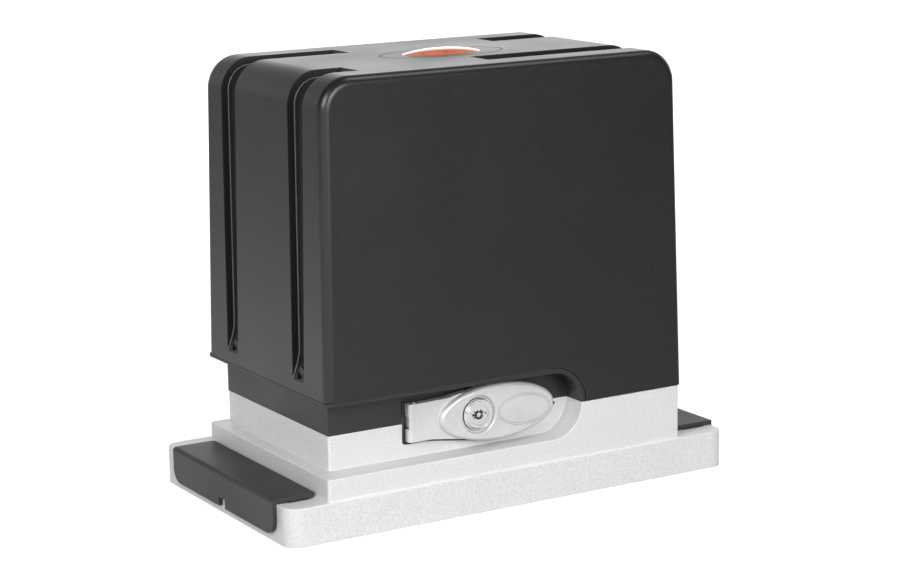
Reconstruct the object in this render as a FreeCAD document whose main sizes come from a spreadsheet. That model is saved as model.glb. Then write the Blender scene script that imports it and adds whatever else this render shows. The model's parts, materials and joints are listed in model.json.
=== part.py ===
import FreeCAD, Part
import ast
import math
import os
import re
from FreeCAD import Placement, Rotation, Vector
import Sketcher

# Sliding gate operator. Millimetres. X along the gate, front at -Y, Z up.
# The origin is the middle of the foot flange on the ground plane.

SIZES = {
    # foot flange and plinth of the casting
    "flange_length": 330.0, "flange_depth": 182.8, "flange_height": 24.6,
    "flange_corner": 10.0, "flange_edge": 0.6,
    "plinth_x0": -136.5, "plinth_x1": 127.7, "plinth_y0": -89.5, "plinth_y1": 77.8,
    "plinth_top": 38.5, "plinth_corner": 2.0, "root_round": 1.2,
    "band_inset": 10.2, "band_back": 8.2,
    "pocket_depth": 18.2, "pocket_radius": 22.0, "pocket_end": 28.0,
    "casting_wall": 5.0, "floor_top": 18.0, "band_corner": 1.5,
    "rib": 6.0, "underside_depth": 9.0, "underside_margin": 40.0,
    # fixing slots in the flange ends
    "slot_spacing_x": 300.0, "slot_spacing_y": 130.0, "slot_radius": 4.5, "slot_length": 17.0,
    "slot_pocket": 22.0, "slot_floor": 10.0,
    # gear case
    "case_wall": 6.0, "case_top": 98.0, "case_floor": 30.0, "case_gap": 4.0,
    "case_front": 44.0, "case_back": 38.0,
    # drive train
    "shaft_x": -50.0, "shaft_z": 64.0, "gear_module": 2.0, "wheel_teeth": 30.0,
    "worm_pitch_radius": 10.0, "wheel_width": 16.0, "tooth_play": 0.3, "worm_length": 40.0,
    "hub_width": 24.0, "hub_radius": 22.0, "bush_wall": 3.0,
    "front_journal": 6.0, "spline_radius": 9.0, "seat_radius": 10.0, "collar_radius": 13.0,
    "collar_width": 4.0, "run_clearance": 0.03, "side_clearance": 0.2,
    "small_bearing_radius": 16.0, "small_bearing_width": 10.0,
    "neck_bearing_radius": 17.5, "neck_bearing_width": 11.0, "neck_journal": 7.5,
    "rear_bearing_radius": 23.5, "rear_bearing_width": 14.0,
    "pad_radius": 33.0, "pad_back": 74.0, "cover_thickness": 5.0, "cover_screw_circle": 28.5,
    "cover_screw_radius": 2.5, "seal_radius": 16.0, "seal_width": 7.0,
    "pinion_module": 4.0, "pinion_teeth": 16.0, "pinion_width": 24.0, "pinion_gap": 3.0,
    "key_width": 6.0, "key_depth": 3.5, "key_length": 20.0, "ring_thickness": 1.2,
    # clutch
    "clutch_travel": 6.0, "dog_height": 5.0, "dog_count": 4.0, "sleeve_radius": 20.0,
    "sleeve_length": 20.0, "dog_inner": 14.5, "rod_radius": 3.0, "pin_radius": 1.5,
    "spring_wire": 0.8, "spring_radius": 10.8, "spring_turns": 4.0,
    "spring_pocket": 12.4, "washer_thickness": 2.0,
    # motor
    "motor_radius": 54.0, "rotor_radius": 28.0, "air_gap": 0.4, "stack_height": 60.0,
    "coil_height": 13.0, "coil_radius": 45.0, "flange_plate": 10.0, "cup_height": 8.0,
    "cap_plate": 6.0, "screw_circle": 50.0, "motor_screw_radius": 2.5,
    # hood and skirt
    "hood_x0": -136.0, "hood_x1": 130.0, "hood_y0": -89.4, "hood_y1": 77.7,
    "hood_top": 283.9, "hood_slope": 0.018, "hood_wall": 3.0, "hood_round": 21.0,
    "hood_edge": 5.5, "rim_height": 3.5, "lip_height": 1.7, "seam_gap": 0.4,
    "groove_depth": 5.0, "groove_reach": 46.1, "groove_foot_width": 15.0, "groove_top_width": 22.0,
    "groove_foot": 93.0, "groove_rise": 13.0, "groove_run": 10.0,
    "groove_end_fl": -94.5, "groove_end_fr": -1.5, "groove_end_bl": -50.0, "groove_end_br": 60.0,
    "hood_screw_z": 98.5, "hood_screw_hole": 4.0, "hood_screw_head": 3.6, "hood_screw_radius": 2.0,
    "arch_gap": 2.0, "skirt_wall": 3.0, "lug_width": 14.0, "lug_depth": 6.0,
    "lens_x": -3.0, "lens_y": -7.9, "lens_length": 56.0, "lens_depth": 30.0, "lens_height": 3.2,
    "lens_swell": 1.2, "lens_bulge": 2.24,
    "trim_length": 88.8, "trim_depth": 47.4, "trim_width": 1.0, "trim_cut": 0.6,
    # foot covers
    "cover_proud_left": 3.0, "cover_proud_right": 0.9, "cover_plate": 3.2, "cover_y0": -75.0,
    "cover_y1": 70.0, "cover_lift": 5.0, "cover_corner": 9.0, "cover_gap": 0.4,
    "cover_notch_width": 9.0, "cover_notch_height": 6.0, "cover_shoulder": 2.6,
    # release lever and lock
    "lever_pin_x": -66.5, "lever_pin_y": -72.9, "lever_pin_radius": 1.5,
    "lever_z0": 49.3, "lever_z1": 73.8, "arm_front": 4.5, "arm_back": 1.0,
    "arm_end": 5.4, "arm_round": 2.4, "arm_bend": -56.0,
    "head_x": -8.2, "head_z": 61.2, "head_length": 85.4, "head_height": 36.6,
    "head_proud": 4.0, "head_back": 3.0, "head_edge": 2.4, "hub_barrel": 4.0,
    "lever_slot_gap": 1.6, "lever_slot_end": 2.0, "lever_slot_depth": 12.0,
    "knuckle_radius": 2.9, "knuckle_height": 8.0, "knuckle_gap": 0.35,
    "lock_x": -23.2, "lock_z": 61.3, "barrel_radius": 10.4, "barrel_gap": 0.25,
    "dish_radius": 12.8, "dish_depth": 2.2, "keyway_radius": 2.3,
    "barrel_tail": 8.5, "plug_radius": 6.9, "plug_tail": 4.0, "lock_window": 10.5,
    "tongue_length": 16.0, "tongue_width": 9.0, "tongue_thickness": 2.4, "nut_thickness": 2.2,
    # electrics
    "tray_lift": 6.0, "tray_length": 150.0, "tray_depth": 128.0, "tray_thickness": 3.0,
    "board_length": 142.0, "board_depth": 118.0, "board_thickness": 1.6, "standoff": 3.0,
    "transformer_x": 86.5, "transformer_y": 26.0, "core_length": 58.0, "core_depth": 26.0,
    "core_height": 54.0, "coil_bulge": 11.0,
    "capacitor_radius": 17.5, "capacitor_height": 92.0, "capacitor_x": -93.0, "capacitor_y": 0.0,
    "entry_x": 89.0, "entry_y": -46.0, "entry_side": 44.0, "entry_bore": 11.0,
}

# Places that follow from the sizes above.
PLACES = {
    "band_x0": "plinth_x0 + band_inset",
    "band_y0": "plinth_y0 + pocket_depth",
    "band_y1": "plinth_y1 - band_back",
    "casting_top": "plinth_top + pocket_radius",
    "seam": "casting_top + pocket_radius + rim_height",
    "hood_mid_y": "(hood_y0 + hood_y1) / 2",
    "wheel_radius": "gear_module * wheel_teeth / 2",
    "wheel_tip": "wheel_radius + gear_module",
    "worm_x": "shaft_x + wheel_radius + worm_pitch_radius",
    "worm_tip": "worm_pitch_radius + gear_module",
    "worm_root": "worm_pitch_radius - 1.25 * gear_module",
    "case_x0": "shaft_x - wheel_tip - case_gap",
    "case_x1": "worm_x + worm_tip + case_gap",
    "hub_face": "-hub_width / 2",
    "sleeve_back": "hub_face - case_gap",
    "front_bearing_y": "-case_front - small_bearing_width - 1",
    "cover_face": "pad_back + cover_thickness",
    "pinion_y": "cover_face + pinion_gap",
    "pinion_end": "pinion_y + pinion_width",
    "motor_base": "case_top + flange_plate",
    "stack_z": "motor_base + cup_height + coil_height - 5",
    "stack_top": "stack_z + stack_height",
    "cap_top": "stack_top + cup_height + coil_height + cap_plate - 4",
    "tray_z": "cap_top + tray_lift",
    "board_z": "tray_z + tray_thickness + standoff",
    "arm_y0": "lever_pin_y - arm_front",
    "arm_y1": "lever_pin_y + arm_back",
    "head_y0": "arm_y0 - head_proud",
    "head_y1": "arm_y1 - head_back",
    "wall_back": "band_y0 + casting_wall",
    "slot_x0": "lever_pin_x - arm_end - lever_slot_end",
    "slot_x1": "lever_pin_x + hub_barrel + 4",
    "knuckle_z0": "(lever_z0 + lever_z1 - knuckle_height) / 2",
    "knuckle_z1": "(lever_z0 + lever_z1 + knuckle_height) / 2",
    "knuckle_back": "lever_pin_y + lever_slot_depth",
}

doc = FreeCAD.newDocument("gate_operator")
sheet = doc.addObject("Spreadsheet::Sheet", "sizes")
for row, (alias, value) in enumerate(SIZES.items(), 1):
    sheet.set("A%d" % row, alias)
    sheet.set("B%d" % row, str(value))
    sheet.setAlias("B%d" % row, alias)
doc.recompute()

WORD = re.compile(r"[a-z_][a-z_0-9]*")


def bound(text):
    # an expression of named sizes, as the document's objects read it
    def swap(match):
        word = match.group(0)
        if word in PLACES:
            return "(" + bound(PLACES[word]) + ")"
        return "sizes." + word
    return WORD.sub(swap, str(text))


def number(text):
    # the same expression as a number
    def walk(node):
        if isinstance(node, ast.Constant):
            return float(node.value)
        if isinstance(node, ast.Name):
            if node.id in PLACES:
                return number(PLACES[node.id])
            return float(getattr(sheet, node.id))
        if isinstance(node, ast.UnaryOp):
            return -walk(node.operand)
        left, right = walk(node.left), walk(node.right)
        if isinstance(node.op, ast.Add):
            return left + right
        if isinstance(node.op, ast.Sub):
            return left - right
        if isinstance(node.op, ast.Mult):
            return left * right
        return left / right
    return walk(ast.parse(str(text)).body[0].value)


TURNS = {
    "Z": Rotation(),
    "Y": Rotation(Vector(1, 0, 0), -90),
    "X": Rotation(Vector(0, 1, 0), 90),
}


def put(thing, where):
    for axis, text in zip("xyz", where):
        thing.setExpression("Placement.Base." + axis, bound(text))


def box(name, x0, x1, y0, y1, z0, z1):
    solid = doc.addObject("Part::Box", name)
    for key, low, high in (("Length", x0, x1), ("Width", y0, y1), ("Height", z0, z1)):
        solid.setExpression(key, bound("(%s) - (%s)" % (high, low)))
    put(solid, (x0, y0, z0))
    return solid


def rod(name, axis, start, radius, length):
    # a cylinder that grows from start along the axis
    solid = doc.addObject("Part::Cylinder", name)
    solid.setExpression("Radius", bound(radius))
    solid.setExpression("Height", bound(length))
    solid.Placement = Placement(Vector(), TURNS[axis])
    put(solid, start)
    return solid


def sketch(name, points, turn, origin):
    # a closed outline, each corner held by two dimensions
    drawn = doc.addObject("Sketcher::SketchObject", name)
    spots = [Vector(number(a), number(b), 0) for a, b in points]
    count = len(spots)
    for i in range(count):
        drawn.addGeometry(Part.LineSegment(spots[i], spots[(i + 1) % count]), False)
    for i in range(count):
        drawn.addConstraint(Sketcher.Constraint("Coincident", i, 2, (i + 1) % count, 1))
    for i, (a, b) in enumerate(points):
        for kind, text in (("DistanceX", a), ("DistanceY", b)):
            k = drawn.addConstraint(Sketcher.Constraint(kind, -1, 1, i, 1, number(text)))
            drawn.setExpression("Constraints[%d]" % k, bound(text))
    drawn.Placement = Placement(Vector(), turn)
    put(drawn, origin)
    return drawn


def prism(name, axis, outline, start, end):
    # an outline pulled along an axis: XY along Z, XZ along Y, YZ along X
    turn = {"Z": Rotation(), "Y": Rotation(Vector(1, 0, 0), 90),
            "X": Rotation(Vector(1, 1, 1), 120)}[axis]
    origin = {"Z": (0, 0, start), "Y": (0, start, 0), "X": (start, 0, 0)}[axis]
    solid = doc.addObject("Part::Extrusion", name)
    solid.Base = sketch(name + "_outline", outline, turn, origin)
    solid.DirMode = "Custom"
    solid.Dir = {"Z": Vector(0, 0, 1), "Y": Vector(0, 1, 0), "X": Vector(1, 0, 0)}[axis]
    solid.Solid = True
    solid.setExpression("LengthFwd", bound("(%s) - (%s)" % (end, start)))
    return solid


def turned(name, axis, origin, outline):
    # a lathe piece: outline of (radius, along) pairs about the axis
    solid = doc.addObject("Part::Revolution", name)
    flat = sketch(name + "_outline", outline, Rotation(Vector(1, 0, 0), 90), (0, 0, 0))
    solid.Source = flat
    solid.Axis = Vector(0, 0, 1)
    solid.Base = Vector()
    solid.Angle = 360.0
    solid.Solid = True
    solid.Placement = Placement(Vector(), TURNS[axis])
    put(solid, origin)
    return solid


def ring(name, axis, origin, outer, inner, low, high):
    return turned(name, axis, origin, [(inner, low), (outer, low), (outer, high), (inner, high)])


def fuse(name, *solids):
    joined = doc.addObject("Part::MultiFuse", name)
    joined.Shapes = list(solids)
    joined.Refine = True
    return joined


def cut(name, base, *tools):
    tool = tools[0]
    if len(tools) > 1:
        tool = doc.addObject("Part::MultiFuse", name + "_tools")
        tool.Shapes = list(tools)
    made = doc.addObject("Part::Cut", name)
    made.Base, made.Tool = base, tool
    made.Refine = True
    return made


def common(name, *solids):
    made = doc.addObject("Part::MultiCommon", name)
    made.Shapes = list(solids)
    return made


def group(name, *solids):
    made = doc.addObject("Part::Compound", name)
    made.Links = list(solids)
    return made


def own(name, shape):
    # the compound keeps the shape where it was drawn when the piece is placed
    made = doc.addObject("Part::Feature", name)
    made.Shape = Part.makeCompound([shape])
    return made


def eased(name, base, wanted, radius, kind="Part::Fillet"):
    # rounds or bevels the edges that the test picks
    doc.recompute()
    size = number(radius)
    picked = [(i, size, size) for i, edge in enumerate(base.Shape.Edges, 1) if wanted(edge)]
    made = doc.addObject(kind, name)
    made.Base = base
    made.Edges = picked
    return made


def along(edge, axis, slack=0.05):
    # true where a straight edge runs along an axis, give or take a draft angle
    if len(edge.Vertexes) != 2:
        return False
    way = edge.Vertexes[1].Point - edge.Vertexes[0].Point
    if way.Length < 1e-6 or not isinstance(edge.Curve, Part.Line):
        return False
    side = {"X": way.x, "Y": way.y, "Z": way.z}[axis]
    return abs(side) / way.Length > 1 - slack * slack


def middle(edge):
    return edge.valueAt((edge.FirstParameter + edge.LastParameter) / 2)


def near(value, text, slack=0.01):
    return abs(value - number(text)) < slack


nodes = []


def node(name, solid):
    solid.Label = name
    nodes.append(solid)
    return solid


# --- casting ---------------------------------------------------------------

def cornered(name, solid, radius):
    return eased(name, solid, lambda edge: along(edge, "Z"), radius)


POCKETS = (("front", "plinth_y0 - 1", "band_y0"), ("back", "band_y1", "plinth_y1 + 1"))


def casting():
    flange = box("flange_block", "-flange_length / 2", "flange_length / 2",
                 "-flange_depth / 2", "flange_depth / 2", 0, "flange_height")
    flange = cornered("flange_corners", flange, "flange_corner")
    flange = eased("flange_rounded", flange, lambda edge: near(middle(edge).z, "flange_height"),
                   "flange_edge")
    plinth = cornered("plinth", box("plinth_block", "plinth_x0", "plinth_x1", "plinth_y0",
                                    "plinth_y1", "floor_top", "plinth_top"), "plinth_corner")
    band = cornered("band", box("band_block", "band_x0", "pocket_end + pocket_radius + rib",
                                "band_y0", "band_y1", "floor_top", "casting_top"), "band_corner")
    right = cornered("right", box("right_block", "pocket_end", "plinth_x1", "plinth_y0",
                                  "plinth_y1", "floor_top", "casting_top"), "plinth_corner")
    bites = []
    for side, y0, y1 in POCKETS:
        bites.append(rod("pocket_round_" + side, "Y", ("pocket_end", y0, "casting_top"),
                         "pocket_radius", "(%s) - (%s)" % (y1, y0)))
        bites.append(box("pocket_flat_" + side, "pocket_end - plinth_corner - 2", "pocket_end", y0,
                         y1, "plinth_top", "casting_top + 1"))
    right = cut("right_scooped", right, *bites)
    shell = fuse("sharp_form", flange, plinth, band, right)

    def root(edge):
        at = middle(edge)
        return (near(at.z, "flange_height")
                and number("plinth_x0 - 0.1") < at.x < number("plinth_x1 + 0.1")
                and number("plinth_y0 - 0.1") < at.y < number("plinth_y1 + 0.1"))
    shell = eased("outer_form", shell, root, "root_round")

    hollow = fuse("inner_space",
                  box("left_space", "band_x0 + casting_wall", "plinth_x1 - casting_wall",
                      "band_y0 + casting_wall", "band_y1 - casting_wall", "floor_top",
                      "casting_top + 1"),
                  box("right_space", "pocket_end + pocket_radius + casting_wall",
                      "plinth_x1 - casting_wall", "plinth_y0 + casting_wall",
                      "plinth_y1 - casting_wall", "floor_top", "casting_top + 1"))
    shell = cut("hollow_form", shell, hollow)

    case = cornered("case_block", box("case_box", "case_x0 - case_wall", "case_x1 + case_wall",
                                      "-case_front - case_wall", "case_back + case_wall",
                                      "floor_top - 1", "case_top"), "casting_wall")
    nose = rod("front_boss", "Y", ("shaft_x", "front_bearing_y - 2", "shaft_z"),
               "small_bearing_radius + 4", "-case_front - (front_bearing_y) + 3")
    guide = rod("rod_guide", "Y", ("shaft_x", "wall_back - 1", "shaft_z"),
                "rod_radius + 4.5", "front_bearing_y - (wall_back)")
    pad = rod("rear_pad", "Y", ("shaft_x", "case_back + 1", "shaft_z"), "pad_radius",
              "pad_back - case_back - 1")
    webs = []
    for i, x in enumerate(("case_x0 - case_wall / 2", "case_x1")):
        webs.append(box("case_web%d" % i, "%s" % x, "(%s) + case_wall" % x,
                        "wall_back - 1", "band_y1 - casting_wall + 1", "floor_top - 1",
                        "casting_top - rib"))
    post = box("knuckle_post", "lever_pin_x - knuckle_radius - 1",
               "lever_pin_x + knuckle_radius + 1", "knuckle_back", "-case_front - case_wall + 1",
               "floor_top - 1", "knuckle_z1")
    shell = fuse("cased_form", shell, case, nose, guide, pad, post, *webs)

    cuts = [box("gear_space", "case_x0", "case_x1", "-case_front", "case_back", "case_floor",
                "case_top + 1"),
            rod("front_seat", "Y", ("shaft_x", "front_bearing_y", "shaft_z"),
                "small_bearing_radius", "small_bearing_width + 2"),
            rod("rod_hole", "Y", ("shaft_x", "band_y0 - 1", "shaft_z"),
                "rod_radius + run_clearance", "front_bearing_y - (band_y0) + 2"),
            rod("case_bore", "Y", ("shaft_x", "case_back - 1", "shaft_z"),
                "rear_bearing_radius - 4", "pad_back - case_back"),
            rod("rear_seat", "Y", ("shaft_x", "pad_back - rear_bearing_width - 4", "shaft_z"),
                "rear_bearing_radius", "rear_bearing_width + 5"),
            rod("cover_recess", "Y", ("shaft_x", "pad_back", "shaft_z"), "pad_radius + 0.5", 10),
            rod("worm_seat", "Z", ("worm_x", 0, "case_floor - small_bearing_width"),
                "small_bearing_radius", "small_bearing_width + 1"),
            box("lever_slot", "slot_x0", "slot_x1", "band_y0 - 1", "knuckle_back",
                "lever_z0 - lever_slot_gap", "casting_top + 1"),
            rod("lock_window_hole", "Y", ("lock_x", "band_y0 - 1", "lock_z"), "lock_window",
                "casting_wall + 2"),
            box("entry_window", "entry_x - entry_side / 2", "entry_x + entry_side / 2",
                "entry_y - entry_side / 2", "entry_y + entry_side / 2", -1, "floor_top + 1")]
    cuts += slots()
    cuts += cover_holes("pad_back - 14", 15)
    cuts += underside()
    body = fuse("casting_with_knuckle", cut("casting_cut", shell, *cuts), *knuckle())
    hole = rod("pin_hole", "Z", ("lever_pin_x", "lever_pin_y", "knuckle_z0 - 1"),
               "lever_pin_radius", "knuckle_height + 2")
    return node("base_housing", cut("casting_body", body, hole))


def knuckle():
    # the eye that carries the lever's pin, and a stop beside the lever's end
    ear = rod("knuckle_eye", "Z", ("lever_pin_x", "lever_pin_y", "knuckle_z0"), "knuckle_radius",
              "knuckle_height")
    stem = box("knuckle_stem", "lever_pin_x - knuckle_radius", "lever_pin_x + knuckle_radius",
               "lever_pin_y", "knuckle_back + 1", "knuckle_z0", "knuckle_z1")
    stop = fuse("stop_form",
                box("stop_foot", "slot_x0 - 1", "slot_x0 + 1.4", "band_y0", "wall_back",
                    "knuckle_z0", "casting_top"),
                box("stop_rise", "slot_x0 + 0.1", "slot_x0 + 1.4", "band_y0", "wall_back",
                    "casting_top - 1", "knuckle_z1"))
    stop = cut("lever_stop", stop, rod("stop_round", "Z", ("lever_pin_x", "lever_pin_y",
                                                           "knuckle_z0 - 1"),
                                       "arm_end + 1", "knuckle_height + 2"))
    return ear, stem, stop


def slots():
    # bolt slots with a pocket above each for nut and washer
    tools = []
    for i, (sx, sy) in enumerate(((-1, -1), (1, -1), (1, 1), (-1, 1))):
        x, y = "%d * slot_spacing_x / 2" % sx, "%d * slot_spacing_y / 2" % sy
        half = "(slot_length / 2 - slot_radius)"
        for end in (-1, 1):
            tools.append(rod("slot%d_end%d" % (i, end + 1), "Z",
                             ("%s + %d * %s" % (x, end, half), y, -1), "slot_radius",
                             "slot_floor + 2"))
        tools.append(box("slot%d_middle" % i, x + " - " + half, x + " + " + half,
                         y + " - slot_radius", y + " + slot_radius", -1, "slot_floor + 1"))
        pocket = box("slot%d_pocket_box" % i, x + " - slot_pocket / 2", x + " + slot_pocket / 2",
                     y + " - slot_pocket / 2", y + " + slot_pocket / 2", "slot_floor",
                     "flange_height + 1")
        tools.append(cornered("slot%d_pocket" % i, pocket, "slot_radius"))
    return tools


def cover_holes(start, length):
    holes = []
    for i in range(4):
        c, s = math.cos(math.pi / 4 + i * math.pi / 2), math.sin(math.pi / 4 + i * math.pi / 2)
        holes.append(rod("cover_hole_%s%d" % (re.sub(r"\W", "", str(start)), i), "Y",
                         ("shaft_x + %.6f * cover_screw_circle" % c, start,
                          "shaft_z + %.6f * cover_screw_circle" % s), "cover_screw_radius", length))
    return holes


def underside():
    # a grid of shallow pockets that leaves ribs, the middle pair crossing at the origin
    across, deep = 8, 6
    tools = []
    for i in range(across):
        for j in range(deep):
            if i >= across - 2 and j < deep / 2:
                continue        # the cable entry stands here
            wide = "((flange_length - 2 * underside_margin) / %d)" % across
            tall = "((flange_depth - underside_margin / 2) / %d)" % deep
            x0 = "-flange_length / 2 + underside_margin + %d * %s + rib / 2" % (i, wide)
            y0 = "-(flange_depth - underside_margin / 2) / 2 + %d * %s + rib / 2" % (j, tall)
            tools.append(box("under_%d_%d" % (i, j), x0, "%s + %s - rib" % (x0, wide), y0,
                             "%s + %s - rib" % (y0, tall), -1, "underside_depth"))
    return tools


def fasteners():
    screws = []
    for i, hole in enumerate(cover_holes("cover_face - 13", 13)):
        c, s = math.cos(math.pi / 4 + i * math.pi / 2), math.sin(math.pi / 4 + i * math.pi / 2)
        head = rod("cover_head%d" % i, "Y",
                   ("shaft_x + %.6f * cover_screw_circle" % c, "cover_face",
                    "shaft_z + %.6f * cover_screw_circle" % s), "cover_screw_radius + 1.9", 2.6)
        screws.append(fuse("cover_screw%d" % i, hole, head))
    node("gear_cover_screws", group("cover_screw_set", *screws))


# --- skirt and hood --------------------------------------------------------

def hood_form(name, inset, low):
    # the hood's outer form, moved in by inset, with its foot at low
    def side(axis, edge0, edge1):
        flare = "hood_slope * (%s - seam)" % low
        rise = "hood_slope * (hood_top - seam)"
        return prism(name + "_" + axis, axis,
                     [("%s + %s + %s" % (edge0, inset, flare), low),
                      ("%s - %s - %s" % (edge1, inset, flare), low),
                      ("%s - %s - %s" % (edge1, inset, rise), "hood_top - %s" % inset),
                      ("%s + %s + %s" % (edge0, inset, rise), "hood_top - %s" % inset)],
                     "-200", "200")
    block = common(name + "_block", side("Y", "hood_x0", "hood_x1"),
                   side("X", "hood_y0", "hood_y1"))
    top = "hood_top - %s" % inset
    form = eased(name + "_crown", block,
                 lambda edge: along(edge, "Y") and near(middle(edge).z, top),
                 "hood_round - %s" % inset)
    if number("hood_edge - %s" % inset) < 0.5:
        return form

    def rim(edge):
        at = middle(edge)
        lean = number("hood_slope") * (at.z - number("seam"))
        front = number("hood_y0 + %s" % inset) + lean
        back = number("hood_y1 - %s" % inset) - lean
        return (abs(at.y - front) < 0.05 or abs(at.y - back) < 0.05) and not near(at.z, low)
    return eased(name + "_form", form, rim, "hood_edge - %s" % inset)


GROOVES = (("fl", -1, -1), ("fr", 1, -1), ("bl", -1, 1), ("br", 1, 1))


def groove_band(name, key, end_side, row, grow):
    # the strip that one channel runs in, grown by a wall for the inside of the hood
    edge = "hood_x0" if end_side < 0 else "hood_x1"
    sign = "+" if end_side < 0 else "-"
    back = "-" if end_side < 0 else "+"
    mid = "hood_mid_y + %d * groove_reach" % row
    end = "groove_end_" + key
    if grow == "0":
        path = [("%s %s groove_depth" % (edge, back), "groove_foot - groove_rise"),
                ("%s %s 2 * groove_depth" % (edge, sign), "groove_foot + 2 * groove_rise"),
                ("%s %s 2 * groove_run" % (end, back), "hood_top - 2 * groove_depth"),
                ("%s %s groove_run" % (end, sign), "hood_top + groove_depth"),
                ("%s %s 12" % (edge, back), "hood_top + groove_depth"),
                ("%s %s 12" % (edge, back), "groove_foot - groove_rise")]
    else:
        path = [("%s %s 12" % (edge, back), "groove_foot - %s" % grow),
                ("%s %s 12" % (edge, sign), "groove_foot - %s" % grow),
                ("%s %s %s" % (end, sign, grow), "hood_top - 12"),
                ("%s %s %s" % (end, sign, grow), "hood_top + groove_depth"),
                ("%s %s 12" % (edge, back), "hood_top + groove_depth")]
    if end_side > 0:
        path.reverse()
    strip = prism(name + "_path", "Y", path, mid + " - 30", mid + " + 30")
    spread = [("%s - groove_foot_width / 2 - %s" % (mid, grow), "groove_foot - groove_rise"),
              ("%s + groove_foot_width / 2 + %s" % (mid, grow), "groove_foot - groove_rise"),
              ("%s + groove_top_width / 2 + %s" % (mid, grow), "hood_top + groove_depth"),
              ("%s - groove_top_width / 2 - %s" % (mid, grow), "hood_top + groove_depth")]
    return common(name, strip, prism(name + "_spread", "X", spread, "-200", "200"))


def hood_screw_places():
    for key, end_side, row in GROOVES:
        edge = "hood_x0" if end_side < 0 else "hood_x1"
        sign = "+" if end_side < 0 else "-"
        yield key, end_side, edge, sign, "hood_mid_y + %d * groove_reach" % row


def hood():
    outer = hood_form("hood_outer", "0", "casting_top + seam_gap")
    inner = hood_form("hood_inner", "hood_wall", "casting_top - 5")
    floor = hood_form("groove_floor", "groove_depth", "casting_top - 9")
    lining = hood_form("groove_lining", "(groove_depth + hood_wall)", "casting_top - 13")
    bands = [groove_band("channel_" + key, key, side, row, "0") for key, side, row in GROOVES]
    cores = [groove_band("channel_core_" + key, key, side, row, "hood_wall")
             for key, side, row in GROOVES]
    channels = cut("channels", fuse("channel_bands", *bands), floor)
    ridges = cut("channel_ridges", fuse("channel_cores", *cores), lining)
    inside = cut("hood_inside", inner, ridges)
    tools = [channels,
             box("seam_cut", "hood_x0 - 5", "pocket_end", "hood_y0 - 5", "hood_y1 + 5",
                 "casting_top - 1", "seam"),
             rod("pocket_cut", "Y", ("pocket_end", "hood_y0 - 5", "casting_top"),
                 "pocket_radius + rim_height", "hood_y1 - hood_y0 + 10"),
             rod("shaft_arch", "Y", ("shaft_x", "hood_y1 - hood_edge - 4", "shaft_z"),
                 "pad_radius + arch_gap", "hood_edge + 9"),
             lens_plug("lens_opening", "0.2", "hood_top - hood_wall - 1", "hood_top + 1")]
    for key, side, edge, sign, y in hood_screw_places():
        start = "%s %s %s" % (edge, sign, "-5" if side < 0 else "groove_depth")
        tools.append(rod("head_hole_" + key, "X", (start, y, "hood_screw_z"), "hood_screw_hole",
                         "groove_depth + 5"))
        start = "%s %s %s" % (edge, sign, "0" if side < 0 else "14")
        tools.append(rod("shank_hole_" + key, "X", (start, y, "hood_screw_z"),
                         "hood_screw_radius + 0.3", 14))
    outline = cut("trim_line", lens_ellipse("trim_outer", "trim_length", "trim_depth",
                                            "hood_top - trim_cut", "hood_top + 1"),
                  lens_ellipse("trim_inner", "trim_length - 2 * trim_width",
                               "trim_depth - 2 * trim_width", "hood_top - 2", "hood_top + 2"))
    solid = cut("hood_shell", outer, inside, outline, *tools)
    return node("hood", solid)


def lens_ellipse(name, length, depth, low, high):
    # an upright oval plug about the lens centre
    oval = doc.addObject("Part::Ellipse", name + "_line")
    oval.setExpression("MajorRadius", bound("(%s) / 2" % length))
    oval.setExpression("MinorRadius", bound("(%s) / 2" % depth))
    put(oval, ("lens_x", "lens_y", low))
    plug = doc.addObject("Part::Extrusion", name)
    plug.Base = oval
    plug.DirMode = "Custom"
    plug.Dir = Vector(0, 0, 1)
    plug.Solid = True
    plug.setExpression("LengthFwd", bound("(%s) - (%s)" % (high, low)))
    return plug


def lens_plug(name, gap, low, high):
    return lens_ellipse(name, "lens_length + 2 * %s" % gap, "lens_depth + 2 * %s" % gap, low, high)


def lens():
    # a shallow dome whose rim slopes, cut out of a wider ellipsoid
    dome = doc.addObject("Part::Ellipsoid", "lens_dome")
    dome.setExpression("Radius1", bound("lens_bulge * lens_height"))
    dome.setExpression("Radius2", bound("lens_swell * lens_length / 2"))
    dome.setExpression("Radius3", bound("lens_swell * lens_depth / 2"))
    put(dome, ("lens_x", "lens_y", "hood_top + lens_height - lens_bulge * lens_height"))
    cap = common("lens_cap", dome, lens_plug("lens_reach", "0", "hood_top - hood_wall / 2",
                                             "hood_top + lens_height + 1"))
    plug = lens_plug("lens_plug", "0", "hood_top - hood_wall", "hood_top - 0.02")
    foot = lens_ellipse("lens_foot", "lens_length + 5", "lens_depth + 5",
                        "hood_top - hood_wall - 1.5", "hood_top - hood_wall")
    node("top_lens", fuse("lens_body", cap, plug, foot))


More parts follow.
